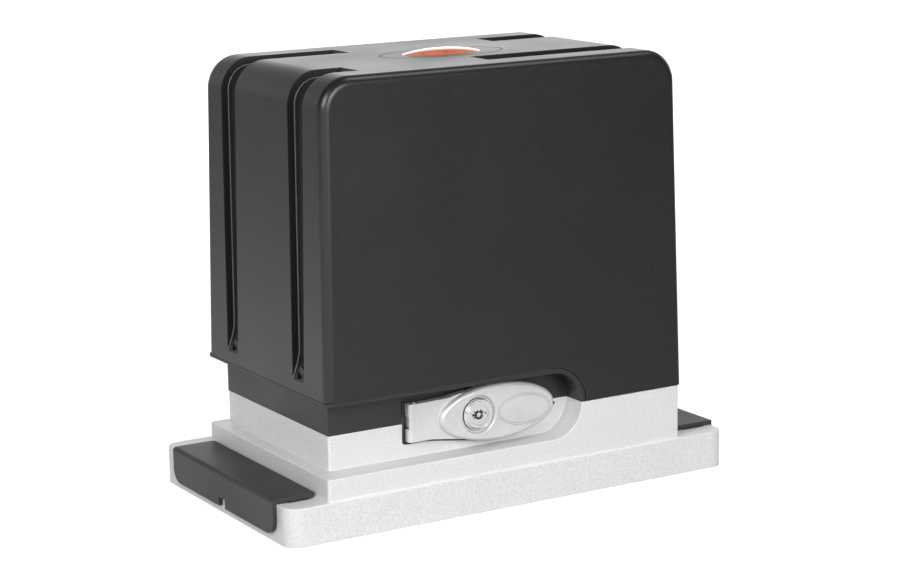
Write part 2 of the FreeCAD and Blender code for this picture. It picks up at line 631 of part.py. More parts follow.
def skirt():
    block = box("skirt_block", "hood_x0 + 0.1", "plinth_x1 - 0.5", "hood_y0 + 0.1", "hood_y1 - 0.1",
                "casting_top", "seam - seam_gap")
    keep = fuse("skirt_reach",
                box("skirt_left", "hood_x0 - 1", "pocket_end", "hood_y0 - 1", "hood_y1 + 1",
                    "casting_top - 1", "seam"),
                rod("skirt_round", "Y", ("pocket_end", "hood_y0 - 1", "casting_top"),
                    "pocket_radius + rim_height - seam_gap", "hood_y1 - hood_y0 + 2"),
                box("skirt_inside", "pocket_end", "hood_x1 - hood_wall - 0.7",
                    "hood_y0 + hood_wall + 0.7", "hood_y1 - hood_wall - 0.7",
                    "casting_top", "seam"))
    body = common("skirt_body", cornered("skirt_corners", block, "plinth_corner"), keep)
    lip = "seam - seam_gap - lip_height"
    bites = [box("skirt_end_bite", "hood_x0 - 2", "band_x0", "hood_y0 - 2", "hood_y1 + 2",
                 "casting_top - 1", lip)]
    for side, y0, y1 in POCKETS:
        bites.append(rod("skirt_bite_" + side, "Y", ("pocket_end", y0, "casting_top"),
                         "pocket_radius", "(%s) - (%s)" % (y1, y0)))
        bites.append(prism("skirt_flat_" + side, "Y",
                           [("hood_x0 - 2", "casting_top - 1"), ("pocket_end", "casting_top - 1"),
                            ("pocket_end", "casting_top + pocket_radius"), ("hood_x0 - 2", lip)],
                           y0, y1))
    bites.append(box("skirt_hollow", "band_x0 + skirt_wall", "pocket_end + pocket_radius",
                     "band_y0 + skirt_wall", "band_y1 - skirt_wall", "casting_top - 1", "seam + 1"))
    bites.append(box("skirt_hollow_right", "pocket_end + pocket_radius + rim_height",
                     "hood_x1 - hood_wall - 0.7 - skirt_wall",
                     "hood_y0 + hood_wall + skirt_wall + 1",
                     "hood_y1 - hood_wall - skirt_wall - 1", "casting_top - 1", "seam + 1"))
    bites.append(box("skirt_passage", "pocket_end", "pocket_end + pocket_radius + rim_height + 1",
                     "band_y0 + skirt_wall", "band_y1 - skirt_wall", "casting_top - 1", "seam + 1"))
    bites.append(rod("pad_opening", "Y", ("shaft_x", "case_back", "shaft_z"),
                     "pad_radius + 0.3", 60))
    bites.append(prism("lever_slot_high", "Y",
                       [("slot_x0", "casting_top - 1"), ("head_x - 5", "casting_top - 1"),
                        ("head_x - 5", "lever_z1 + 2.8"), ("arm_bend + 16", "lever_z1 + 2.8"),
                        ("arm_bend", "lever_z1 + 1.0"), ("slot_x0", "lever_z1 + 1.0")],
                       "band_y0 - 1", "band_y0 + skirt_wall + 1"))
    bites.append(rod("lock_window_high", "Y", ("lock_x", "band_y0 - 1", "lock_z"), "lock_window",
                     "skirt_wall + 2"))
    bites.append(box("tongue_way", "lock_x - tongue_width / 2 - 1", "lock_x + tongue_width / 2 + 2",
                     "band_y0 - 1", "band_y0 + skirt_wall + 1", "lock_z",
                     "lock_z + tongue_length + 1"))
    bites.append(rod("rod_way", "Y", ("shaft_x", "band_y0 - 1", "shaft_z"), "rod_radius + 1",
                     "skirt_wall + 2"))
    bites.append(box("rod_way_foot", "shaft_x - rod_radius - 1", "shaft_x + rod_radius + 1",
                     "band_y0 - 1", "band_y0 + skirt_wall + 1", "casting_top - 1", "shaft_z"))
    body = cut("skirt_ring", body, *bites)
    lugs = []
    for key, side, edge, sign, y in hood_screw_places():
        outer = "(%s %s (groove_depth + hood_wall + 0.4))" % (edge, sign)
        inner = "(%s %s lug_depth)" % (outer, sign)
        x0, x1 = (outer, inner) if side < 0 else (inner, outer)
        stem = box("lug_" + key, x0, x1, y + " - lug_width / 2", y + " + lug_width / 2",
                   lip, "hood_screw_z + lug_width / 2")
        wall0, wall1 = (("band_x0", "band_x0 + skirt_wall + 1") if side < 0 else
                        ("hood_x1 - hood_wall - 0.7 - skirt_wall - 4", "hood_x1 - hood_wall - 0.7"))
        tie = box("lug_tie_" + key, wall0, wall1, y + " - lug_width / 2", y + " + lug_width / 2",
                  "casting_top + 8", "seam - seam_gap")
        start = "%s %s %s" % (edge, sign, "0" if side < 0 else "20")
        lugs.append((fuse("lug_form_" + key, stem, tie),
                     rod("lug_hole_" + key, "X", (start, y, "hood_screw_z"),
                         "hood_screw_radius", 20)))
    body = fuse("skirt_lugged", body, *[form for form, _ in lugs])
    node("skirt", cut("skirt_finished", body, *[hole for _, hole in lugs]))


def hood_screws():
    screws = []
    for key, side, edge, sign, y in hood_screw_places():
        seat = "%s %s groove_depth" % (edge, sign)
        if side < 0:
            head = rod("hood_head_" + key, "X", (seat + " - 2.4", y, "hood_screw_z"),
                       "hood_screw_head", 2.4)
            shank = rod("hood_shank_" + key, "X", (seat, y, "hood_screw_z"), "hood_screw_radius", 9)
        else:
            head = rod("hood_head_" + key, "X", (seat, y, "hood_screw_z"), "hood_screw_head", 2.4)
            shank = rod("hood_shank_" + key, "X", (seat + " - 9", y, "hood_screw_z"),
                        "hood_screw_radius", 9)
        screws.append(fuse("hood_screw_" + key, head, shank))
    node("hood_screws", group("hood_screw_set", *screws))


def foot_cover(side):
    # an angled cap over the flange end, open below for the bolts
    sign = {"left": "-", "right": ""}[side]
    wall = {"left": "plinth_x0", "right": "plinth_x1"}[side]
    out = sign + "(flange_length / 2 + cover_proud_%s)" % side
    inn = "%s %s (root_round + cover_gap)" % (wall, "-" if side == "left" else "+")
    face = sign + "(flange_length / 2 + 0.2)"
    top = "flange_height + cover_plate"
    lo, hi = (out, inn) if side == "left" else (inn, out)
    plate = box("cover_top_" + side, lo, hi, "cover_y0", "cover_y1", "flange_height", top)
    lo, hi = (out, face) if side == "left" else (face, out)
    if side == "left":
        lip = box("cover_lip_" + side, lo, hi, "cover_y0", "cover_y1", "cover_lift", top)
        lip = eased("cover_lip_round_" + side, lip,
                    lambda edge: along(edge, "X") and near(middle(edge).z, "cover_lift"),
                    "cover_corner")
        notch = box("cover_notch_" + side, "%s - 9" % out, "%s + 9" % out,
                    "-cover_notch_width * 0.8", "cover_notch_width * 0.2", 0,
                    "cover_lift + cover_notch_height")
        plate = cut("cover_body_" + side, fuse("cover_shell_" + side, plate, lip), notch)
    else:
        lip = box("cover_lip_" + side, lo, hi, "cover_y0", "cover_y1",
                  "flange_height - cover_corner", top)
        plate = fuse("cover_shell_" + side, plate, lip)

    def inner(edge):
        return along(edge, "Z") and near(middle(edge).x, inn)
    plate = eased("cover_corner_" + side, plate, inner, 3.0)

    def shoulder(edge):
        return along(edge, "Y") and near(middle(edge).x, out) and near(middle(edge).z, top)
    round_size = "cover_shoulder" if side == "left" else "0.8"
    plate = eased("cover_shoulder_" + side, plate, shoulder, round_size)
    node("foot_cover_" + side, plate)


# --- lever and lock --------------------------------------------------------

def oval(name, cx, cz, length, height, y0, y1):
    # an oval plate standing in the XZ plane
    line = doc.addObject("Part::Ellipse", name + "_line")
    line.setExpression("MajorRadius", bound("(%s) / 2" % length))
    line.setExpression("MinorRadius", bound("(%s) / 2" % height))
    line.Placement = Placement(Vector(), Rotation(Vector(1, 0, 0), 90))
    put(line, (cx, y0, cz))
    plate = doc.addObject("Part::Extrusion", name)
    plate.Base = line
    plate.DirMode = "Custom"
    plate.Dir = Vector(0, 1, 0)
    plate.Solid = True
    plate.setExpression("LengthFwd", bound("(%s) - (%s)" % (y1, y0)))
    return plate


def lever():
    arm = prism("lever_arm", "Y",
                [("lever_pin_x - arm_end", "lever_z0"), ("arm_bend", "lever_z0"),
                 ("arm_bend + 12", "lever_z0 - 1.6"),
                 ("head_x - head_length / 4", "head_z - 0.43 * head_height"), ("head_x", "head_z"),
                 ("head_x - head_length / 4", "head_z + 0.43 * head_height"),
                 ("arm_bend + 12", "lever_z1 + 0.4"), ("lever_pin_x - arm_end", "lever_z1")],
                "arm_y0", "arm_y1")
    arm = eased("lever_arm_bends", arm,
                lambda edge: along(edge, "Y") and middle(edge).z < number("lever_z0 + 1")
                and number("arm_bend - 1") < middle(edge).x < number("head_x - head_length / 5"), 9)

    def tip(edge):
        at = middle(edge)
        return (along(edge, "Z") and near(at.x, "lever_pin_x - arm_end")
                and near(at.y, "arm_y0"))
    arm = eased("lever_arm_end", arm, tip, "arm_round")
    barrel = rod("lever_barrel", "Z", ("lever_pin_x", "lever_pin_y", "lever_z0"), "hub_barrel",
                 "lever_z1 - lever_z0")
    head = oval("lever_head", "head_x", "head_z", "head_length", "head_height",
                "head_y0", "head_y1")
    head = eased("lever_head_eased", head, lambda edge: near(middle(edge).y, "head_y0"),
                 "head_edge")
    body = fuse("lever_form", arm, barrel, head)
    dish = turned("lever_dish", "Y", ("lock_x", 0, "lock_z"),
                  [(0, "head_y0 - 1"), ("dish_radius + 0.5", "head_y0 - 1"),
                   ("dish_radius", "head_y0"), ("dish_radius - 1.2", "head_y0 + dish_depth"),
                   (0, "head_y0 + dish_depth")])
    tools = [rod("lever_pin_bore", "Z", ("lever_pin_x", "lever_pin_y", "lever_z0 - 1"),
                 "lever_pin_radius + run_clearance", "lever_z1 - lever_z0 + 2"),
             box("knuckle_way", "lever_pin_x - 20", "lever_pin_x + knuckle_radius + knuckle_gap",
                 "lever_pin_y - knuckle_radius - knuckle_gap", "lever_pin_y + 20",
                 "knuckle_z0 - knuckle_gap", "knuckle_z1 + knuckle_gap"),
             rod("nut_recess", "Y", ("lock_x", "head_y1", "lock_z"), "barrel_tail + 5",
                 "arm_y1 - (head_y1) + 1"),
             rod("lock_bore", "Y", ("lock_x", "head_y0 - 1", "lock_z"),
                 "barrel_radius + barrel_gap", "head_y1 - (head_y0) + 4"), dish]
    node("release_lever", cut("lever_body", body, *tools))
    pin = turned("lever_pin_body", "Z", ("lever_pin_x", "lever_pin_y", "lever_z0 + 0.4"),
                 [(0, 0), ("lever_pin_radius", 0),
                  ("lever_pin_radius", "lever_z1 - lever_z0 - 0.2"),
                  ("lever_pin_radius + 1", "lever_z1 - lever_z0 - 0.2"),
                  ("lever_pin_radius + 1", "lever_z1 - lever_z0 + 0.1"),
                  ("lever_pin_radius + 0.6", "lever_z1 - lever_z0 + 0.35"),
                  (0, "lever_z1 - lever_z0 + 0.35")])
    node("lever_pin", pin)


def lock():
    tail_end = "wall_back + 0.3"
    barrel = turned("barrel_form", "Y", ("lock_x", 0, "lock_z"),
                    [("plug_radius + run_clearance", "head_y0"), ("barrel_radius - 1.9", "head_y0"),
                     ("barrel_radius - 1.7", "head_y0 + 0.25"), ("barrel_radius - 0.7", "head_y0"),
                     ("barrel_radius", "head_y0 + 0.6"),
                     ("barrel_radius", "head_y1 - 1"), ("barrel_tail", "head_y1 - 1"),
                     ("barrel_tail", tail_end), ("plug_tail + run_clearance", tail_end),
                     ("plug_tail + run_clearance", "head_y1 - 2"),
                     ("plug_radius + run_clearance", "head_y1 - 2")])
    node("lock_barrel", barrel)
    hexagon = doc.addObject("Part::Prism", "nut_blank")
    hexagon.Polygon = 6
    hexagon.setExpression("Circumradius", bound("barrel_tail + 4.5"))
    hexagon.setExpression("Height", bound("nut_thickness"))
    hexagon.Placement = Placement(Vector(), TURNS["Y"])
    put(hexagon, ("lock_x", "head_y1 + 0.1", "lock_z"))
    nut_bore = rod("nut_bore", "Y", ("lock_x", "head_y1 - 1", "lock_z"), "barrel_tail",
                   "nut_thickness + 3")
    node("lock_nut", cut("nut_body", hexagon, nut_bore))
    plug = turned("plug_form", "Y", ("lock_x", 0, "lock_z"),
                  [(0, "head_y0 + 0.1"), ("plug_radius - 0.2", "head_y0 + 0.1"),
                   ("plug_radius", "head_y0 + 0.3"),
                   ("plug_radius", "head_y1 - 2.2"), ("plug_tail", "head_y1 - 2.2"),
                   ("plug_tail", "wall_back + 0.5 + tongue_thickness"),
                   (0, "wall_back + 0.5 + tongue_thickness")])
    keyway = ring("keyway_ring", "Y", ("lock_x", 0, "lock_z"), "keyway_radius",
                  "keyway_radius - 1.1", "head_y0 - 1", "head_y0 + 4")
    guide = box("keyway_guide", "lock_x - keyway_radius - 1.6", "lock_x - keyway_radius + 0.4",
                "head_y0 - 1", "head_y0 + 4", "lock_z - 0.7", "lock_z + 0.7")
    node("lock_plug", cut("plug_body", plug, keyway, guide))
    blade = box("tongue_blade", "lock_x - tongue_width / 2", "lock_x + tongue_width / 2",
                "wall_back + 0.5", "wall_back + 0.5 + tongue_thickness", "lock_z",
                "lock_z + tongue_length")
    hub = rod("tongue_hub", "Y", ("lock_x", "wall_back + 0.5", "lock_z"), "tongue_width / 2 + 1",
              "tongue_thickness")
    bore = rod("tongue_bore", "Y", ("lock_x", "wall_back", "lock_z"), "plug_tail", 9)
    node("lock_cam", cut("tongue_body", fuse("tongue_form", blade, hub), bore))
    head = rod("cam_screw_head", "Y", ("lock_x", "wall_back + 0.5 + tongue_thickness", "lock_z"),
               "plug_tail + 1", 1.2)
    node("cam_screw", head)


# --- gears -----------------------------------------------------------------

def involute(base, radius):
    # the angle that the flank has turned by at a radius
    if radius <= base:
        return 0.0
    t = math.sqrt((radius / base) ** 2 - 1)
    return t - math.atan(t)


def gear_outline(module, teeth, play, steps):
    # points round the teeth, with a gap on the +X side
    pitch = module * teeth / 2
    base = pitch * math.cos(math.radians(20))
    root, tip = pitch - 1.25 * module, pitch + module
    half = (math.pi * module - 2 * play) / (4 * pitch)
    radii = [root] + [pitch - module + 2 * module * i / steps for i in range(steps + 1)]
    flank = [(r, half + involute(base, pitch) - involute(base, r)) for r in radii]
    points = []
    for k in range(int(teeth)):
        centre = 2 * math.pi * (k + 0.5) / teeth
        for r, turn in flank:
            points.append((r, centre - turn))
        for r, turn in reversed(flank):
            points.append((r, centre + turn))
    return points


def toothed(points, twist, low, high):
    # the outline swept along Y from low to high while it turns by twist
    wires = []
    for y, turn in ((low, -twist / 2), (high, twist / 2)):
        spots = [Vector(r * math.cos(a + turn), y, r * math.sin(a + turn)) for r, a in points]
        wires.append(Part.makePolygon(spots + [spots[0]]))
    return Part.makeLoft(wires, True, True)


def drive_gears():
    module, teeth = number("gear_module"), number("wheel_teeth")
    lead = number("gear_module / (2 * worm_pitch_radius)")
    width = number("wheel_width")
    twist = -width * lead / number("wheel_radius")
    rim = gear_outline(module, teeth, number("tooth_play"), 2)
    body = toothed(rim, twist, -width / 2, width / 2)
    wheel = own("wheel_teeth_body", body)
    put(wheel, ("shaft_x", 0, "shaft_z"))
    web = rod("wheel_core", "Y", ("shaft_x", -20, "shaft_z"), "hub_radius", 40)
    node("worm_wheel", cut("wheel_rim", wheel, web))
    hub = turned("hub_form", "Y", ("shaft_x", 0, "shaft_z"),
                 [("seat_radius + bush_wall", "hub_face"), ("hub_radius", "hub_face"),
                  ("hub_radius", "wheel_width / 2"), ("hub_radius - 4", "wheel_width / 2 + 1"),
                  ("hub_radius - 4", "hub_width / 2"),
                  ("seat_radius + bush_wall", "hub_width / 2")])
    gaps = dogs("dog_gap", "hub_face - 1", "hub_face + dog_height + 0.5", 0.4, "dog_inner - 0.4",
                "hub_radius + 2")
    node("wheel_hub", cut("hub_body", hub, *gaps))
    node("wheel_bush", ring("bush_body", "Y", ("shaft_x", 0, "shaft_z"), "seat_radius + bush_wall",
                            "seat_radius + run_clearance", "hub_face", "hub_width / 2"))

    pitch = 2 * math.pi * number("gear_module / 2")
    length = number("worm_length")
    slope = math.tan(math.radians(20))
    half = pitch / 4 - number("tooth_play") / 2
    r, tip, root = number("worm_pitch_radius"), number("worm_tip"), number("worm_root")
    helix = Part.makeHelix(pitch, length - pitch, r)
    profile = Part.makePolygon([Vector(x, 0, z) for x, z in (
        (root - 0.4, half + (r - root + 0.4) * slope), (tip, half - (tip - r) * slope),
        (tip, -half + (tip - r) * slope), (root - 0.4, -half - (r - root + 0.4) * slope),
        (root - 0.4, half + (r - root + 0.4) * slope))])
    thread = Part.Wire(helix.Edges).makePipeShell([profile], True, True)
    thread.translate(Vector(0, 0, -(length - pitch) / 2))
    # the thread stands at the shaft's height on the side that faces the wheel
    thread.rotate(Vector(), Vector(0, 0, 1), 180 - 360 * (length - pitch) / 2 / pitch)
    screw = own("worm_thread", thread)
    put(screw, ("worm_x", 0, "shaft_z"))
    stem = turned("worm_stem", "Z", ("worm_x", 0, 0),
                  [(0, "case_floor - small_bearing_width + 0.5"),
                   ("front_journal", "case_floor - small_bearing_width + 0.5"),
                   ("front_journal", "case_floor + 0.5"), ("worm_root", "case_floor + 1.5"),
                   ("worm_root", "shaft_z + worm_length / 2 + 2"),
                   ("neck_journal + 2", "shaft_z + worm_length / 2 + 4"),
                   ("neck_journal + 2", "case_top - 0.5"), ("neck_journal", "case_top - 0.5"),
                   ("neck_journal", "motor_base + 2"), ("neck_journal + 1", "motor_base + 2"),
                   ("neck_journal + 1", "stack_top + 8"), ("front_journal", "stack_top + 8"),
                   ("front_journal", "cap_top - 3"), (0, "cap_top - 3")])
    node("worm_shaft", fuse("worm_body", stem, screw))


def dogs(name, low, high, extra, inner, outer):
    # four blocks round the shaft axis
    blocks = []
    count = int(number("dog_count"))
    for k in range(count):
        wedge = box("%s%d_block" % (name, k), inner, outer, low, high,
                    "-sleeve_radius * 0.28 - %s" % extra, "sleeve_radius * 0.28 + %s" % extra)
        spun = doc.addObject("Part::Compound", "%s%d" % (name, k))
        spun.Links = [wedge]
        spun.Placement = Placement(Vector(), Rotation(Vector(0, 1, 0), 360.0 * k / count))
        put(spun, ("shaft_x", 0, "shaft_z"))
        blocks.append(spun)
    return blocks


def output():
    shaft = turned("shaft_form", "Y", ("shaft_x", 0, "shaft_z"),
                   [(0, "front_bearing_y + 0.5"), ("front_journal", "front_bearing_y + 0.5"),
                    ("front_journal", "-case_front - 0.5"), ("spline_radius", "-case_front - 0.5"),
                    ("spline_radius", "hub_face"), ("seat_radius", "hub_face"),
                    ("seat_radius", "hub_width / 2 + side_clearance"),
                    ("collar_radius", "hub_width / 2 + side_clearance"),
                    ("collar_radius", "hub_width / 2 + side_clearance + collar_width"),
                    ("seat_radius + 1", "hub_width / 2 + side_clearance + collar_width"),
                    ("seat_radius + 1", "pad_back - rear_bearing_width - 4"),
                    ("seat_radius", "pad_back - rear_bearing_width - 4"),
                    ("seat_radius", "pinion_end + 2.6"), ("seat_radius - 1", "pinion_end + 3.6"),
                    (0, "pinion_end + 3.6")])
    tools = [rod("rod_bore", "Y", ("shaft_x", "front_bearing_y - 5", "shaft_z"),
                 "rod_radius + run_clearance", "-(front_bearing_y) + 5 + sleeve_back - 4"),
             box("pin_slot", "shaft_x - spline_radius - 2", "shaft_x + spline_radius + 2",
                 "sleeve_back - sleeve_length + 4 - pin_radius - clutch_travel - 0.5",
                 "sleeve_back - sleeve_length + 4 + pin_radius + 0.5",
                 "shaft_z - pin_radius - 0.1", "shaft_z + pin_radius + 0.1"),
             box("key_seat", "shaft_x - key_width / 2", "shaft_x + key_width / 2", "pinion_y + 2",
                 "pinion_y + 2 + key_length", "shaft_z + seat_radius - key_depth",
                 "shaft_z + seat_radius + 5"),
             ring("ring_groove", "Y", ("shaft_x", 0, "shaft_z"), "seat_radius + 2",
                  "seat_radius - 1", "pinion_end + 0.1",
                  "pinion_end + 0.1 + ring_thickness + 0.1")]
    node("output_shaft", cut("shaft_body", shaft, *tools))
    key = box("key_body", "shaft_x - key_width / 2", "shaft_x + key_width / 2", "pinion_y + 2",
              "pinion_y + 2 + key_length", "shaft_z + seat_radius - key_depth",
              "shaft_z + seat_radius + 2.4")
    node("shaft_key", key)
    body = toothed(gear_outline(number("pinion_module"), number("pinion_teeth"),
                                number("tooth_play"), 3), 0.0, 0.0, number("pinion_width"))
    blank = own("pinion_teeth_body", body)
    put(blank, ("shaft_x", "pinion_y", "shaft_z"))
    bore = rod("pinion_bore", "Y", ("shaft_x", "pinion_y - 1", "shaft_z"),
               "seat_radius + run_clearance / 3", "pinion_width + 2")
    way = box("pinion_keyway", "shaft_x - key_width / 2 - 0.02", "shaft_x + key_width / 2 + 0.02",
              "pinion_y - 1", "pinion_end + 1", "shaft_z", "shaft_z + seat_radius + 2.6")
    node("drive_pinion", cut("pinion_body", blank, bore, way))
    node("pinion_ring", ring("pinion_ring_body", "Y", ("shaft_x", 0, "shaft_z"), "seat_radius + 3",
                             "seat_radius - 1 + run_clearance", "pinion_end + 0.15",
                             "pinion_end + 0.15 + ring_thickness"))


def clutch():
    front = "sleeve_back - sleeve_length"
    form = turned("sleeve_form", "Y", ("shaft_x", 0, "shaft_z"),
                  [("spline_radius + run_clearance", front), ("sleeve_radius - 3", front),
                   ("sleeve_radius - 3", front + " + 6"), ("sleeve_radius", front + " + 7"),
                   ("sleeve_radius", "sleeve_back"), ("spring_pocket", "sleeve_back"),
                   ("spring_pocket", "sleeve_back - 8"),
                   ("spline_radius + run_clearance", "sleeve_back - 8")])
    teeth = dogs("sleeve_dog", "sleeve_back - 1", "hub_face + dog_height", 0, "dog_inner",
                 "sleeve_radius - 0.3")
    pin_y = front + " + 4"
    hole = rod("sleeve_pin_hole", "X", ("shaft_x - sleeve_radius", pin_y, "shaft_z"), "pin_radius",
               "2 * sleeve_radius")
    node("clutch_sleeve", cut("sleeve_body", fuse("sleeve_dogged", form, *teeth), hole))
    node("clutch_pin", rod("pin_body", "X", ("shaft_x - sleeve_radius + 3.5", pin_y, "shaft_z"),
                           "pin_radius", "2 * sleeve_radius - 7"))
    tip = "arm_y1 + side_clearance"
    stem = turned("rod_form", "Y", ("shaft_x", 0, "shaft_z"),
                  [(0, tip), ("rod_radius - 1.2", tip), ("rod_radius", tip + " + 1.2"),
                   ("rod_radius", pin_y + " + 4"), (0, pin_y + " + 4")])
    eye = rod("rod_eye", "X", ("shaft_x - 5", pin_y, "shaft_z"), "pin_radius", 10)
    node("release_rod", cut("rod_body", stem, eye))
    node("spring_washer", ring("washer_body", "Y", ("shaft_x", 0, "shaft_z"), "seat_radius + 2",
                               "spline_radius + run_clearance",
                               "hub_face - washer_thickness - 0.02", "hub_face - 0.02"))
    low, high = number("sleeve_back - 8"), number("hub_face - washer_thickness - 0.02")
    wire, turns, mean = number("spring_wire"), number("spring_turns"), number("spring_radius")
    height = high - low - 2 * wire - 0.1
    helix = Part.makeHelix(height / turns, height, mean)
    corners = [Vector(mean + wire * a, 0, wire * b)
               for a, b in ((1, 1), (-1, 1), (-1, -1), (1, -1))]
    section = Part.makePolygon(corners + corners[:1])
    coil = Part.Wire(helix.Edges).makePipeShell([section], True, True)
    coil.rotate(Vector(), Vector(1, 0, 0), -90)
    coil.translate(Vector(0, low + wire + 0.05, 0))
    spring = own("spring_body", coil)
    put(spring, ("shaft_x", 0, "shaft_z"))
    node("clutch_spring", spring)


# --- bearings, covers and motor ---------------------------------------------

def bearing(name, axis, origin, outer, inner, width):
    # two races with a shallow groove each side where the shield sits
    mid = "((%s) + (%s)) / 2" % (outer, inner)
    face = [("%s" % inner, 0), (mid + " - 1.6", 0), (mid + " - 1.6", 0.6), (mid + " + 1.6", 0.6),
            (mid + " + 1.6", 0), (outer, 0), (outer, width), (mid + " + 1.6", width),
            (mid + " + 1.6", "%s - 0.6" % width), (mid + " - 1.6", "%s - 0.6" % width),
            (mid + " - 1.6", width), ("%s" % inner, width)]
    return node(name, turned(name + "_body", axis, origin, face))


def bearings():
    bearing("front_bearing", "Y", ("shaft_x", "front_bearing_y", "shaft_z"), "small_bearing_radius",
            "front_journal + run_clearance", "small_bearing_width")
    bearing("rear_bearing", "Y", ("shaft_x", "pad_back - rear_bearing_width - 4", "shaft_z"),
            "rear_bearing_radius", "seat_radius + run_clearance", "rear_bearing_width")
    bearing("worm_foot_bearing", "Z", ("worm_x", 0, "case_floor - small_bearing_width"),
            "small_bearing_radius", "front_journal + run_clearance", "small_bearing_width")
    bearing("worm_neck_bearing", "Z", ("worm_x", 0, "case_top"), "neck_bearing_radius",
            "neck_journal + run_clearance", "neck_bearing_width")
    bearing("rotor_top_bearing", "Z", ("worm_x", 0, "cap_top - small_bearing_width - 2"),
            "small_bearing_radius", "front_journal + run_clearance", "small_bearing_width")
    seal = [("seat_radius + run_clearance", 0), ("seal_radius", 0), ("seal_radius", "seal_width"),
            ("seat_radius + 3", "seal_width"), ("seat_radius + 3", 2),
            ("seat_radius + run_clearance", 2)]
    node("shaft_seal", turned("seal_body", "Y", ("shaft_x", "cover_face - seal_width - 0.5",
                                                 "shaft_z"), seal))
    cover = turned("cover_form", "Y", ("shaft_x", 0, "shaft_z"),
                   [("seat_radius + 1.5", "pad_back - 4"), ("rear_bearing_radius", "pad_back - 4"),
                    ("rear_bearing_radius", "pad_back"), ("pad_radius", "pad_back"),
                    ("pad_radius", "cover_face - 1"), ("pad_radius - 1", "cover_face"),
                    ("seal_radius", "cover_face"), ("seal_radius", "cover_face - seal_width - 0.5"),
                    ("seat_radius + 1.5", "cover_face - seal_width - 0.5")])
    node("gear_cover", cut("cover_body", cover,
                           *cover_holes("pad_back - 2", "cover_thickness + 3")))
    fasteners()


def motor():
    plate = box("flange_plate_box", "case_x0 - case_wall - 26", "worm_x + motor_radius + 2",
                "-motor_radius + 8", "motor_radius + 14", "case_top", "motor_base")
    plate = cornered("flange_plate_form", plate, 10)
    cup = ring("flange_cup", "Z", ("worm_x", 0, 0), "motor_radius + 2", "coil_radius + 1.5",
               "motor_base - 1", "stack_z")
    seat = rod("neck_seat", "Z", ("worm_x", 0, "case_top - 1"), "neck_bearing_radius",
               "flange_plate + 1 + 1")
    collar = ring("neck_collar", "Z", ("worm_x", 0, 0), "neck_bearing_radius + 4",
                  "neck_bearing_radius - 3", "motor_base - 2", "motor_base + 3")
    tools = [rod("neck_bore", "Z", ("worm_x", 0, "case_top - 1"), "neck_bearing_radius",
                 "neck_bearing_width + 1"),
             rod("neck_way", "Z", ("worm_x", 0, "case_top - 1"), "neck_journal + 3", 30)]
    tools += motor_rods("plate_hole", "motor_base - 6", "stack_z + 1")
    body = cut("motor_flange_body", fuse("motor_flange_form", plate, cup, collar), *tools)
    node("motor_flange", body)

    stator = ring("stator_form", "Z", ("worm_x", 0, 0), "motor_radius", "rotor_radius + air_gap",
                  "stack_z", "stack_top")
    node("stator_core", cut("stator_body", stator, *motor_rods("stack_hole", "stack_z - 1",
                                                               "stack_top + 1")))
    coils = []
    for tag, low in (("low", "stack_z - coil_height + 0.5"), ("high", "stack_top")):
        coil = ring("coil_" + tag, "Z", ("worm_x", 0, low), "coil_radius", "rotor_radius + 3", 0,
                    "coil_height - 0.5")
        coils.append(eased("coil_round_" + tag, coil, lambda edge: edge.Closed, 4, "Part::Chamfer"))
    node("stator_windings", group("winding_set", *coils))
    node("rotor_core", ring("rotor_body", "Z", ("worm_x", 0, 0), "rotor_radius", "neck_journal + 1",
                            "stack_z", "stack_top"))
    cap = turned("cap_form", "Z", ("worm_x", 0, 0),
                 [("front_journal + 2", "cap_top - cap_plate - 6"),
                  ("small_bearing_radius + 4", "cap_top - cap_plate - 6"),
                  ("small_bearing_radius + 4", "cap_top - cap_plate"),
                  ("coil_radius + 1.5", "cap_top - cap_plate"), ("coil_radius + 1.5", "stack_top"),
                  ("motor_radius + 2", "stack_top"), ("motor_radius + 2", "cap_top - 3"),
                  ("motor_radius - 1", "cap_top"), ("front_journal + 2", "cap_top")])
    bore = rod("cap_bore", "Z", ("worm_x", 0, "cap_top - small_bearing_width - 2"),
               "small_bearing_radius", "small_bearing_width + 0")
    node("motor_end_cap", cut("cap_body", cap, bore, *motor_rods("cap_hole", "stack_top - 1",
                                                                 "cap_top + 1")))
    screws = []
    shanks = motor_rods("motor_shank", "motor_base - 5", "cap_top")
    for shank, head in zip(shanks, motor_rods("motor_head", "cap_top", "cap_top + 3", 1.8)):
        screws.append(fuse(shank.Name + "_screw", shank, head))
    node("motor_screws", group("motor_screw_set", *screws))


def motor_rods(name, low, high, extra=0):
    rods = []
    for k in range(4):
        a = math.radians(45 + 90 * k)
        rods.append(rod("%s%d" % (name, k), "Z",
                        ("worm_x + %.6f * screw_circle" % math.cos(a),
                         "%.6f * screw_circle" % math.sin(a), low),
                        "motor_screw_radius + %s" % extra, "(%s) - (%s)" % (high, low)))
    return rods


# --- electrics -------------------------------------------------------------

